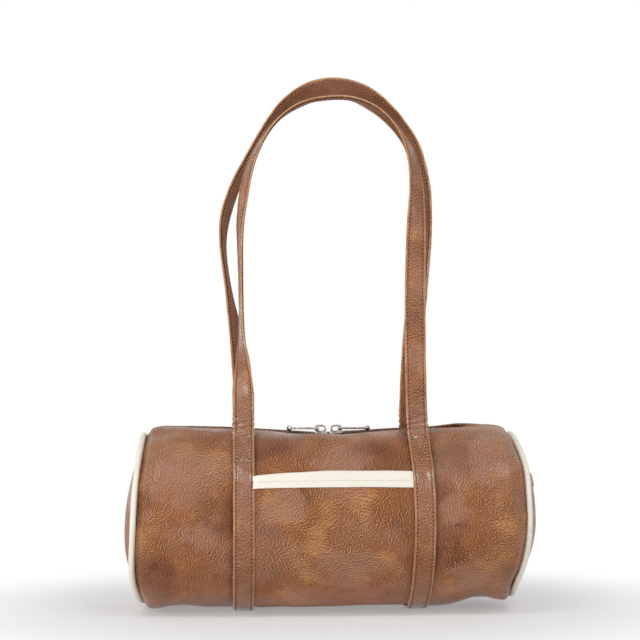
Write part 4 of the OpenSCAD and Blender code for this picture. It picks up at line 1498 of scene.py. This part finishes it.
def drifted(tree, spot, size, reach):
    # A place moved about by noise: features size long, moves up to half of reach
    drift = addNode(tree, "ShaderNodeTexNoise", {"Vector": spot, "Scale": 1 / size, "Detail": 1.0})
    drift = addNode(tree, "ShaderNodeVectorMath", {0: drift.outputs["Color"], 1: (0.5, 0.5, 0.5)},
                    operation="SUBTRACT").outputs[0]
    drift = addNode(tree, "ShaderNodeVectorMath", {0: drift, "Scale": reach},
                    operation="SCALE").outputs[0]
    return addNode(tree, "ShaderNodeVectorMath", {0: spot, 1: drift}, operation="ADD").outputs[0]


vec, num, col = "NodeSocketVector", "NodeSocketFloat", "NodeSocketColor"


def newGroup(name, inputs, outputs):
    # A node group, whose sockets are a name, a kind and for inputs a start value
    group = bpy.data.node_groups.new(name, "ShaderNodeTree")
    for label, kind, start in inputs:
        socket = group.interface.new_socket(name=label, in_out="INPUT", socket_type=kind)
        if start is not None:
            socket.default_value = start
    for label, kind in outputs:
        group.interface.new_socket(name=label, in_out="OUTPUT", socket_type=kind)
    return group, group.nodes.new("NodeGroupInput").outputs, group.nodes.new("NodeGroupOutput").inputs


# Sizes in millimetres. A noise is its size, detail and roughness; a span is a low and a high, then
# what they are spread over
grainShape = {
    "drift": (11, 5.0),  # size and reach of the swirl in the clouds
    "cloud": (40, 2.0, 0.5), "cloudShare": 0.66,
    "fleck": (15, 3.0, 0.55), "fleckShare": 0.34,
    "darkSpan": (-0.26, 0.0), "lightSpan": (0.0, 0.18, 0.0, 0.62),
    # Patches of painted mauve sheen, where the leather is also glossier
    "cast": (46, 2.0, 0.5), "glossAndSheenSpan": (0.38, 0.66, 0.0, 0.7), "paintedSheenShare": 0.72,
    "swing": (40, 1.0, 0.5), "swingSpan": (0.3, 0.7, -0.8, 0.8),  # turns of the creases, in radians
    "jolt": (8, 1.0, 0.5), "joltSpan": (0.3, 0.7, -0.5, 0.5),
    "creaseDrift": (7, 1.4),
    "creases": ((2.9, 1.34, 0.64), (1.9, 1.15, 0.1)),  # size, waves in it and how aligned they are
    "creaseShares": (0.62, 0.38),
    "patch": (38, 2.0, 0.5), "patchSpan": (0.36, 0.56, 0.6, 1.0),
    "crestSpan": (0.51, 0.63), "crestShare": 0.76,
    "dipSpan": (0.49, 0.38), "dipShare": 0.7,
    "pebble": 0.95, "pebbleSoft": 0.6, "pebbleSpan": (0.35, 0.8, 0.0, 0.18),
    "dot": (0.45, 2.0),
    # Wear below 0 mixes to the dark colour, as painted shade and random dark clouds; above 0 to the edge
    # colour
    "darkAndShadeShare": -0.8, "wearShare": 0.85,
    "dotHeight": 0.2, "pebbleHeight": 0.55, "creaseHeight": 0.8,
    "roughSpan": (0.35, 0.7, -0.05, 0.09), "wearRough": 0.1, "dipRough": 0.12, "glossRough": 0.1,
    "polishSpan": (0.0, 1.0, 0.12, 1.0),
}


def leatherGroup():
    # Mottled leather on a map in millimetres: slow soft clouds of dark and tan, patches of painted
    # mauve sheen that are glossier too, and over them slanted creases a few millimetres apart that
    # swirl, with tan on their crests and dark in their dips, then pebble grain. Wear lays the edge
    # colour over it; below 0 it lays the dark colour, as painted shade and as random dark clouds
    s = grainShape
    starts = {"Mottle": 1.0, "Crease": 1.0, "Grain": 1.0, "Wear": 0.0, "Gloss": 0.4, "Slant": 0.0,
              "GlossAndSheenSpots": 0.0}
    group, given, out = newGroup(
        "leatherGrain",
        [("Vector", vec, None)] + [(label, col, None) for label in brownColors]
        + [(label, num, start) for label, start in starts.items()],
        [("Color", col), ("Height", num), ("Roughness", num), ("Polish", num)])
    spot = given["Vector"]

    bent = drifted(group, spot, *s["drift"])
    cloud = noise(group, bent, *s["cloud"])
    fleck = noise(group, bent, *s["fleck"])
    tone = plus(group, times(group, cloud, s["cloudShare"]), times(group, fleck, s["fleckShare"]))
    tone = times(group, maths(group, "SUBTRACT", tone, 0.5), given["Mottle"])
    color = mixColor(group, remap(group, tone, *s["darkSpan"]), given["Dark"], given["Middle"])
    color = mixColor(group, remap(group, tone, *s["lightSpan"]), color, given["Light"])
    # Painted mauve sheen in patches and at the listed spots, which are also less rough and more coated
    cast = remap(group, noise(group, bent, *s["cast"]), *s["glossAndSheenSpan"])
    cast = maths(group, "MAXIMUM", cast, given["GlossAndSheenSpots"])
    color = mixColor(group, times(group, cast, s["paintedSheenShare"]), color, given["Cast"])

    swing = remap(group, noise(group, spot, *s["swing"]), *s["swingSpan"])
    jolt = remap(group, noise(group, spot, *s["jolt"]), *s["joltSpan"])
    lie = plus(group, plus(group, given["Slant"], swing), jolt)
    waves = [
        addNode(group, "ShaderNodeTexGabor",
                {"Vector": drifted(group, spot, *s["creaseDrift"]), "Scale": 1 / size, "Frequency": count,
                 "Anisotropy": aligned, "Orientation": lie}, gabor_type="2D").outputs["Value"]
        for size, count, aligned in s["creases"]]
    ridges = plus(group, *(times(group, *pair) for pair in zip(waves, s["creaseShares"])))
    patch = times(group, remap(group, noise(group, spot, *s["patch"]), *s["patchSpan"]), given["Crease"])
    crest = times(group, remap(group, ridges, *s["crestSpan"]), patch)
    dip = times(group, remap(group, ridges, *s["dipSpan"]), patch)
    color = mixColor(group, times(group, crest, s["crestShare"]), color, given["Light"])
    color = mixColor(group, times(group, dip, s["dipShare"]), color, given["Dark"])

    pebbles = addNode(group, "ShaderNodeTexVoronoi",
                      {"Vector": spot, "Scale": 1 / s["pebble"], "Smoothness": s["pebbleSoft"]},
                      feature="SMOOTH_F1").outputs["Distance"]
    dots = noise(group, spot, *s["dot"])
    color = mixColor(group, remap(group, pebbles, *s["pebbleSpan"]), color, given["Dark"])
    # Wear below 0 lays the dark colour: painted shade, painted shadow and random dark clouds
    color = mixColor(group, times(group, given["Wear"], s["darkAndShadeShare"], True), color, given["Dark"])
    color = mixColor(group, times(group, given["Wear"], s["wearShare"], True), color, given["Edge"])
    fine = maths(group, "SUBTRACT", times(group, dots, s["dotHeight"]),
                 times(group, pebbles, s["pebbleHeight"]))
    height = times(group, fine, given["Grain"])
    height = plus(group, height, times(group, crest, s["creaseHeight"]))
    height = maths(group, "SUBTRACT", height, times(group, dip, s["creaseHeight"]))
    rough = plus(group, given["Gloss"], remap(group, fleck, *s["roughSpan"]))
    rough = plus(group, rough, times(group, given["Wear"], s["wearRough"]))
    rough = plus(group, rough, times(group, dip, s["dipRough"]))
    rough = maths(group, "SUBTRACT", rough, times(group, cast, s["glossRough"]))
    polish = remap(group, cast, *s["polishSpan"])
    for label, value in (("Color", color), ("Height", height), ("Roughness", rough), ("Polish", polish)):
        group.links.new(value, out[label])
    return group


weaveShape = {"fuzz": (0.35, 3.0, 0.6), "fuzzHeight": 0.4, "shadeSpan": (0.25, 1.0),
              "slow": (9.0, 3.0), "slowSpan": (0.35, 0.7, 0.0, 0.3)}


def weaveGroup():
    # Plain weave on a map in millimetres: threads one pitch wide that cross over and under
    s = weaveShape
    group, given, out = newGroup(
        "weave",
        [("Vector", vec, None), ("Color", col, None), ("Shade", col, None), ("Across", num, 0.6),
         ("Along", num, 0.6)],
        [("Color", col), ("Height", num)])
    parts = addNode(group, "ShaderNodeSeparateXYZ", {0: given["Vector"]}).outputs
    waves = []
    for part, pitch in (("X", "Along"), ("Y", "Across")):
        turn = times(group, maths(group, "DIVIDE", parts[part], given[pitch]), math.pi)
        waves.append(maths(group, "SINE", turn))
    height = plus(group, times(group, times(group, *waves), 0.5), 0.5)
    fuzz = noise(group, given["Vector"], *s["fuzz"])
    height = plus(group, height, times(group, fuzz, s["fuzzHeight"]))
    color = mixColor(group, remap(group, height, *s["shadeSpan"]), given["Shade"], given["Color"])
    slow = remap(group, noise(group, given["Vector"], *s["slow"]), *s["slowSpan"])
    group.links.new(mixColor(group, slow, color, given["Shade"]), out["Color"])
    group.links.new(height, out["Height"])
    return group


def newMaterial(name, **constants):
    # A material whose shader has these constants, with its tree and its shader
    material = bpy.data.materials.new(name)
    material.use_nodes = True
    tree = material.node_tree
    shader = tree.nodes["Principled BSDF"]
    for key, value in constants.items():
        shader.inputs[key.replace("_", " ")].default_value = value
    return material, tree, shader


def mapInMm(tree, source="UV"):
    place = addNode(tree, "ShaderNodeTexCoord").outputs[source]
    return addNode(tree, "ShaderNodeVectorMath", {0: place, "Scale": 1 / mm}, operation="SCALE").outputs[0]


def bumpInto(tree, shader, height, distance):
    bump = addNode(tree, "ShaderNodeBump", {"Height": height, "Distance": distance * mm, "Strength": 1.0})
    tree.links.new(bump.outputs[0], shader.inputs["Normal"])


# Places given a painted sheen and a glossier coat, each as x, y, z and reach
brownSheenSpots = [(-127, -68, 123, 34), (-109, -81, 71, 17), (-43, -82, 94, 18), (10, -64, 131, 27),
               (132, -57, 134, 33), (14, -72, 42, 29), (118, -65, 31, 24), (99, -79, 97, 18),
               (-120, 62, 110, 30), (40, 78, 92, 34), (120, 70, 60, 28), (168, 20, 110, 26)]
strapSheenSpots = [(-74, -40, 154, 13), (74, -40, 154, 13), (-74, -68, 116, 15), (76, -68, 116, 15)]

brownLook = {
    "shine": 0.22, "coat": 0.62, "coatRough": 0.32, "mottle": 1.25, "crease": 1.0, "grain": 1.0,
    "gloss": 0.4, "slant": math.radians(34), "relief": 0.5, "wearAndSheen": brownSheenSpots,
    "smoothFoot": (8, 52, 0.35),  # heights between which the creases fade, to this share
}
strapLook = {
    "shine": 0.3, "coat": 1.0, "coatRough": 0.16, "mottle": 1.2, "crease": 0.85, "grain": 0.9,
    "gloss": 0.38, "slant": math.radians(20), "relief": 0.3, "wearAndSheen": strapSheenSpots, "smoothFoot": (),
}
creamLook = {
    "shine": 0.45, "coat": 0.06, "coatRough": 0.35, "mottle": 0.5, "crease": 0.12, "grain": 0.5,
    "gloss": 0.42, "slant": 0.0, "relief": 0.12, "wearAndSheen": (), "smoothFoot": (),
}
sheenSpotShape = {
    "uneven": (18, 3.0, 0.6), "unevenSpan": (0.3, 0.7, -9.0, 9.0),
    "footSpan": (8, 40, 0.85, 0.0),  # by height: the bag's foot gets the painted sheen and glossier coat too
    "reachShares": (0.45, 1.15),  # of each reach: where it is full and where it ends
}
# Cast is the mauve-pink colour of a painted sheen
brownColors = {"Dark": (90, 48, 29), "Middle": (154, 92, 51), "Light": (220, 160, 103),
               "Cast": (164, 112, 86), "Edge": (206, 156, 112)}
strapColors = {"Dark": (78, 41, 26), "Middle": (146, 88, 53), "Light": (208, 150, 102),
               "Cast": (154, 105, 80), "Edge": (208, 154, 106)}
creamColors = {"Dark": (224, 216, 198), "Middle": (240, 234, 219), "Light": (247, 243, 231),
               "Cast": (238, 230, 216), "Edge": (232, 222, 203)}


def sheenSpotMask(tree, places):
    # How much painted sheen and extra coat each point gets: the foot of the bag, then near each place
    # by its distance, with an uneven border
    s = sheenSpotShape
    here = mapInMm(tree, "Object")
    uneven = remap(tree, noise(tree, here, *s["uneven"]), *s["unevenSpan"])
    height = addNode(tree, "ShaderNodeSeparateXYZ", {0: here}).outputs["Z"]
    wearAndSheen = remap(tree, plus(tree, height, uneven), *s["footSpan"])
    full, end = s["reachShares"]
    for *place, reach in places:
        away = addNode(tree, "ShaderNodeVectorMath", {0: here, 1: place}, operation="DISTANCE")
        away = plus(tree, away.outputs["Value"], uneven)
        wearAndSheen = maths(tree, "MAXIMUM", remap(tree, away, reach * full, reach * end, 1.0, 0.0), wearAndSheen)
    return wearAndSheen


def leatherMaterial(name, look, colors):
    # Leather by the grain group, with wear and painted shade from the mesh, and painted sheen at the listed
    # spots
    material, tree, shader = newMaterial(name, Specular_IOR_Level=look["shine"],
                                         Coat_Roughness=look["coatRough"])
    group = addNode(tree, "ShaderNodeGroup", node_tree=leatherGrain)
    for label, value in colors.items():
        group.inputs[label].default_value = srgb(*value)
    for label in ("Mottle", "Crease", "Grain", "Gloss", "Slant"):
        group.inputs[label].default_value = look[label.lower()]
    if look["smoothFoot"]:
        # Towards the bag's foot the creases fade
        low, high, share = look["smoothFoot"]
        height = addNode(tree, "ShaderNodeSeparateXYZ", {0: mapInMm(tree, "Object")}).outputs["Z"]
        crease = remap(tree, height, low, high, look["crease"] * share, look["crease"])
        tree.links.new(crease, group.inputs["Crease"])
    # Painted sheen and a glossier coat at the listed spots and at the bag's foot
    if look["wearAndSheen"]:
        tree.links.new(sheenSpotMask(tree, look["wearAndSheen"]), group.inputs["GlossAndSheenSpots"])
    tree.links.new(mapInMm(tree), group.inputs["Vector"])
    wear = addNode(tree, "ShaderNodeAttribute", attribute_name="wear").outputs["Fac"]
    tree.links.new(wear, group.inputs["Wear"])
    tree.links.new(group.outputs["Color"], shader.inputs["Base Color"])
    tree.links.new(group.outputs["Roughness"], shader.inputs["Roughness"])
    coat = times(tree, group.outputs["Polish"], look["coat"])
    tree.links.new(coat, shader.inputs["Coat Weight"])
    bumpInto(tree, shader, group.outputs["Height"], look["relief"])
    return material


def clothMaterial(name, color, shade, across, along, relief, rough=0.8):
    # Woven cloth, whose threads are across and along wide
    material, tree, shader = newMaterial(name, Roughness=rough, Specular_IOR_Level=0.2, Sheen_Weight=0.05,
                                         Sheen_Roughness=0.5)
    group = addNode(tree, "ShaderNodeGroup", node_tree=weave)
    for label, value in (("Color", srgb(*color)), ("Shade", srgb(*shade)), ("Across", across),
                         ("Along", along)):
        group.inputs[label].default_value = value
    tree.links.new(mapInMm(tree), group.inputs["Vector"])
    tree.links.new(group.outputs["Color"], shader.inputs["Base Color"])
    bumpInto(tree, shader, group.outputs["Height"], relief)
    return material


threadFinish = {"shine": 0.4, "turnX": 30.0, "turnY": 12.6, "strandSpan": (-1.0, 0.6), "dull": 0.15,
                "relief": 0.08}


def threadMaterial(name, color, shade, rough):
    # Strands laid slantwise round each stitch: the sine of a sum of both map directions
    s = threadFinish
    material, tree, shader = newMaterial(name, Specular_IOR_Level=s["shine"])
    parts = addNode(tree, "ShaderNodeSeparateXYZ", {0: mapInMm(tree)}).outputs
    slant = plus(tree, times(tree, parts["X"], s["turnX"]), times(tree, parts["Y"], s["turnY"]))
    strand = remap(tree, maths(tree, "SINE", slant), *s["strandSpan"])
    tree.links.new(mixColor(tree, strand, srgb(*shade), srgb(*color)), shader.inputs["Base Color"])
    tree.links.new(remap(tree, strand, 0.0, 1.0, rough + s["dull"], rough), shader.inputs["Roughness"])
    bumpInto(tree, shader, strand, s["relief"])
    return material


# A noise and its spans, the two colours that it mixes, then how deep it is
nickelLook = {
    "soft": (2.2, 4.0, 0.6), "colorSpan": (0.35, 0.7), "roughSpan": (0.3, 0.75, 0.14, 0.28),
    "shade": (132, 126, 118), "color": (208, 204, 198),
    "fine": (0.35, 3.0, 0.6), "fineRough": 0.06, "relief": 0.02,
}
nylonLook = {
    "noise": (1.4, 3.0), "colorSpan": (0.3, 0.7), "roughSpan": (0.3, 0.7, 0.3, 0.45),
    "shade": (52, 28, 24), "color": (78, 44, 36), "shine": 0.5, "relief": 0.05,
}
boardLook = {
    "noise": (1.3, 5.0, 0.7, 1.2), "colorSpan": (0.3, 0.7), "roughSpan": (0.3, 0.7, 0.75, 0.92),
    "shade": (112, 92, 70), "color": (158, 134, 104), "shine": 0.2, "relief": 0.12,
}


def lookColor(tree, value, look):
    # The look's two colours, mixed by a value
    share = remap(tree, value, *look["colorSpan"])
    return mixColor(tree, share, srgb(*look["shade"]), srgb(*look["color"]))


def nickelMaterial(name, look):
    # Plated metal: a soft shine with faint rubbed streaks and specks
    material, tree, shader = newMaterial(name, Metallic=1.0)
    spot = mapInMm(tree, "Object")
    soft, fine = noise(tree, spot, *look["soft"]), noise(tree, spot, *look["fine"])
    tree.links.new(lookColor(tree, soft, look), shader.inputs["Base Color"])
    rough = plus(tree, remap(tree, soft, *look["roughSpan"]), times(tree, fine, look["fineRough"]))
    tree.links.new(rough, shader.inputs["Roughness"])
    bumpInto(tree, shader, fine, look["relief"])
    return material


def mottledMaterial(name, look):
    # One noise that mixes two colours and sets how rough and how high the surface is: nylon's
    # soft spots, or the short fibres of pressed board
    material, tree, shader = newMaterial(name, Specular_IOR_Level=look["shine"])
    spots = noise(tree, mapInMm(tree, "Object"), *look["noise"])
    tree.links.new(lookColor(tree, spots, look), shader.inputs["Base Color"])
    tree.links.new(remap(tree, spots, *look["roughSpan"]), shader.inputs["Roughness"])
    bumpInto(tree, shader, spots, look["relief"])
    return material


leatherGrain = leatherGroup()
weave = weaveGroup()
leather = leatherMaterial("brownLeather", brownLook, brownColors)
strapLeather = leatherMaterial("strapLeather", strapLook, strapColors)
creamLeather = leatherMaterial("creamLeather", creamLook, creamColors)
liningCloth = clothMaterial("liningCloth", (150, 124, 98), (116, 92, 70), 0.5, 0.5, 0.1)
zipCloth = clothMaterial("zipCloth", (76, 40, 33), (48, 24, 20), 0.8, 0.55, 0.1)
webbingCloth = clothMaterial("webbingCloth", (156, 106, 76), (88, 52, 39), 0.75, 1.5, 0.14, 0.7)
coilNylon = mottledMaterial("coilNylon", nylonLook)
threadBrown = threadMaterial("threadBrown", (194, 140, 92), (132, 86, 54), 0.5)
# Dark sunk grains at the needle holes: painted shade in each hole
needleHoleShade = threadMaterial("needleHoleShade", (70, 37, 23), (48, 25, 16), 0.8)
threadTan = threadMaterial("threadTan", (224, 182, 132), (168, 120, 78), 0.45)
threadCream = threadMaterial("threadCream", (238, 230, 212), (214, 202, 180), 0.5)
nickel = nickelMaterial("nickel", nickelLook)
boardFibre = mottledMaterial("boardFibre", boardLook)
print("materials made")

makeBody()
makeLining()
makeInnerPocket()
for side, name in ((-1, "Left"), (1, "Right")):
    makeEnd(side, name)
    makeBinding(side, name)
    makePiping(side, name)
    makeZipTab(side, name)
makeSlipPocket()
print("barrel made")
for face, name in ((1, "Front"), (-1, "Rear")):
    makeStrap(face, name)
    makeStrapThread(face, name)
    makeWebbing(face, name)
print("straps made")
makePocket()
makeTrim()
makePocketThread()
for side, name in ((-1, "Front"), (1, "Rear")):
    makeZip(side, name)
for name in ("Left", "Right"):
    makeMetal("slider_" + name.lower(), "slider" + name)
    makeMetal("puller_" + name.lower(), "puller" + name)
makeBoard()
print("pocket and zip made")


# Stage, light and camera

# In metres, and srgb values for colours
viewShape = {"turn": math.radians(3), "distance": 1.70, "slide": -0.0072, "height": 0.25, "lens": 109.9}
sweepShape = {
    "wide": 5.0, "front": -3.2, "back": 1.3, "round": 0.9, "high": 3.4, "steps": 24,
    "shade": (242, 242, 242), "color": (245, 245, 245), "noise": (500, 2.0), "colorSpan": (0.3, 0.7),
    "nearX": 420.0, "nearY": 330.0,  # millimetres over which the lit floor fades out
    "whiteSpan": (0.1, 0.9, 0.3, 1.0),
}
wallGrey = (158, 160, 164)  # what lights the bag from all round
# Place and target, width and height, and power
lamps = {
    "key": ((-1.4, -1.9, 0.72), (0, 0, 0.13), (1.7, 1.3), 11.3),
    "overLeft": ((-0.6, -0.95, 1.6), (-0.1, 0, 0.12), (0.6, 0.4), 5.2),
    "overRight": ((0.62, -0.95, 1.55), (0.1, 0, 0.12), (0.6, 0.4), 5.4),
    "fill": ((1.8, -1.5, 0.7), (0, 0, 0.12), (1.2, 1.2), 6.6),
    "left": ((-2.1, -0.6, 0.5), (-0.1, 0, 0.1), (0.9, 0.9), 5.4),
    "foot": ((-1.1, -1.2, 0.14), (-0.12, 0, 0.04), (1.2, 0.24), 4.4),
    "back": ((0.4, 1.3, 1.4), (0, 0, 0.2), (1.6, 0.8), 1.2),
}


def seenRays(tree):
    # 1 where the camera looks, straight or by way of metal
    path = addNode(tree, "ShaderNodeLightPath").outputs
    mirrored = maths(tree, "MAXIMUM", path["Is Glossy Ray"], path["Is Transmission Ray"])
    return maths(tree, "MAXIMUM", path["Is Camera Ray"], mirrored)


def makeStage():
    # A floor that curves up into a backdrop
    s = sweepShape
    turn = np.linspace(0, math.pi / 2, s["steps"])
    y = np.concatenate([[s["front"]], s["back"] + s["round"] * np.sin(turn), [s["back"] + s["round"]]])
    z = np.concatenate([[0.0], s["round"] * (1 - np.cos(turn)), [s["high"]]])
    x = np.linspace(-s["wide"], s["wide"], 3)
    points = stack(x[None], y[:, None], z[:, None]).reshape(-1, 3)
    index = np.arange(len(points)).reshape(len(y), len(x))
    quads = gridQuads(index, np.zeros((*index.shape, 2)), False, False)[0]
    mesh = bpy.data.meshes.new("backdrop")
    mesh.from_pydata(points.tolist(), [], quads.tolist())
    mesh.shade_smooth()
    material, tree, shader = newMaterial("paper", Roughness=0.9, Specular_IOR_Level=0.1)
    spot = mapInMm(tree, "Object")
    tree.links.new(lookColor(tree, noise(tree, spot, *s["noise"]), s), shader.inputs["Base Color"])
    # Away from the bag the camera sees plain white; near it, the lit floor
    parts = addNode(tree, "ShaderNodeSeparateXYZ", {0: spot}).outputs
    away = plus(tree, *(maths(tree, "POWER", maths(tree, "DIVIDE", parts[part], s[near]), 2.0)
                        for part, near in (("X", "nearX"), ("Y", "nearY"))))
    share = times(tree, seenRays(tree), remap(tree, away, *s["whiteSpan"]))
    glow = addNode(tree, "ShaderNodeEmission", {"Color": (1, 1, 1, 1), "Strength": 1.0})
    blend = addNode(tree, "ShaderNodeMixShader", {0: share, 1: shader.outputs[0], 2: glow.outputs[0]})
    tree.links.new(blend.outputs[0], tree.nodes["Material Output"].inputs[0])
    mesh.materials.append(material)
    addObject("backdrop", mesh)


def addLamp(name, place, target, size, power):
    # A rectangle of light that faces its target
    lamp = bpy.data.lights.new(name, "AREA")
    lamp.shape = "RECTANGLE"
    lamp.size, lamp.size_y = size
    lamp.energy = power
    thing = addObject(name, lamp)
    thing.location = place
    thing.rotation_euler = (Vector(target) - Vector(place)).to_track_quat("-Z", "Y").to_euler()


def addCamera():
    # It looks level along the turned front, from a distance and a little to one side
    v = viewShape
    ahead = Vector((math.sin(v["turn"]), math.cos(v["turn"]), 0))
    across = Vector((math.cos(v["turn"]), -math.sin(v["turn"]), 0))
    lens = bpy.data.cameras.new("view")
    lens.lens = v["lens"]
    lens.sensor_width = 36
    lens.clip_start = 0.05
    camera = addObject("view", lens)
    camera.location = -v["distance"] * ahead + v["slide"] * across + Vector((0, 0, v["height"]))
    camera.rotation_euler = ahead.to_track_quat("-Z", "Y").to_euler()
    bpy.context.scene.camera = camera


makeStage()
for name, (place, target, size, power) in lamps.items():
    addLamp(name, place, target, size, power)
world = bpy.data.worlds.new("studio")
world.use_nodes = True
room = world.node_tree
wall = mixColor(room, seenRays(room), srgb(*wallGrey), (1, 1, 1, 1))
room.links.new(wall, room.nodes["Background"].inputs["Color"])
bpy.context.scene.world = world
addCamera()
bpy.context.scene.view_settings.view_transform = "Standard"
print("stage lit")
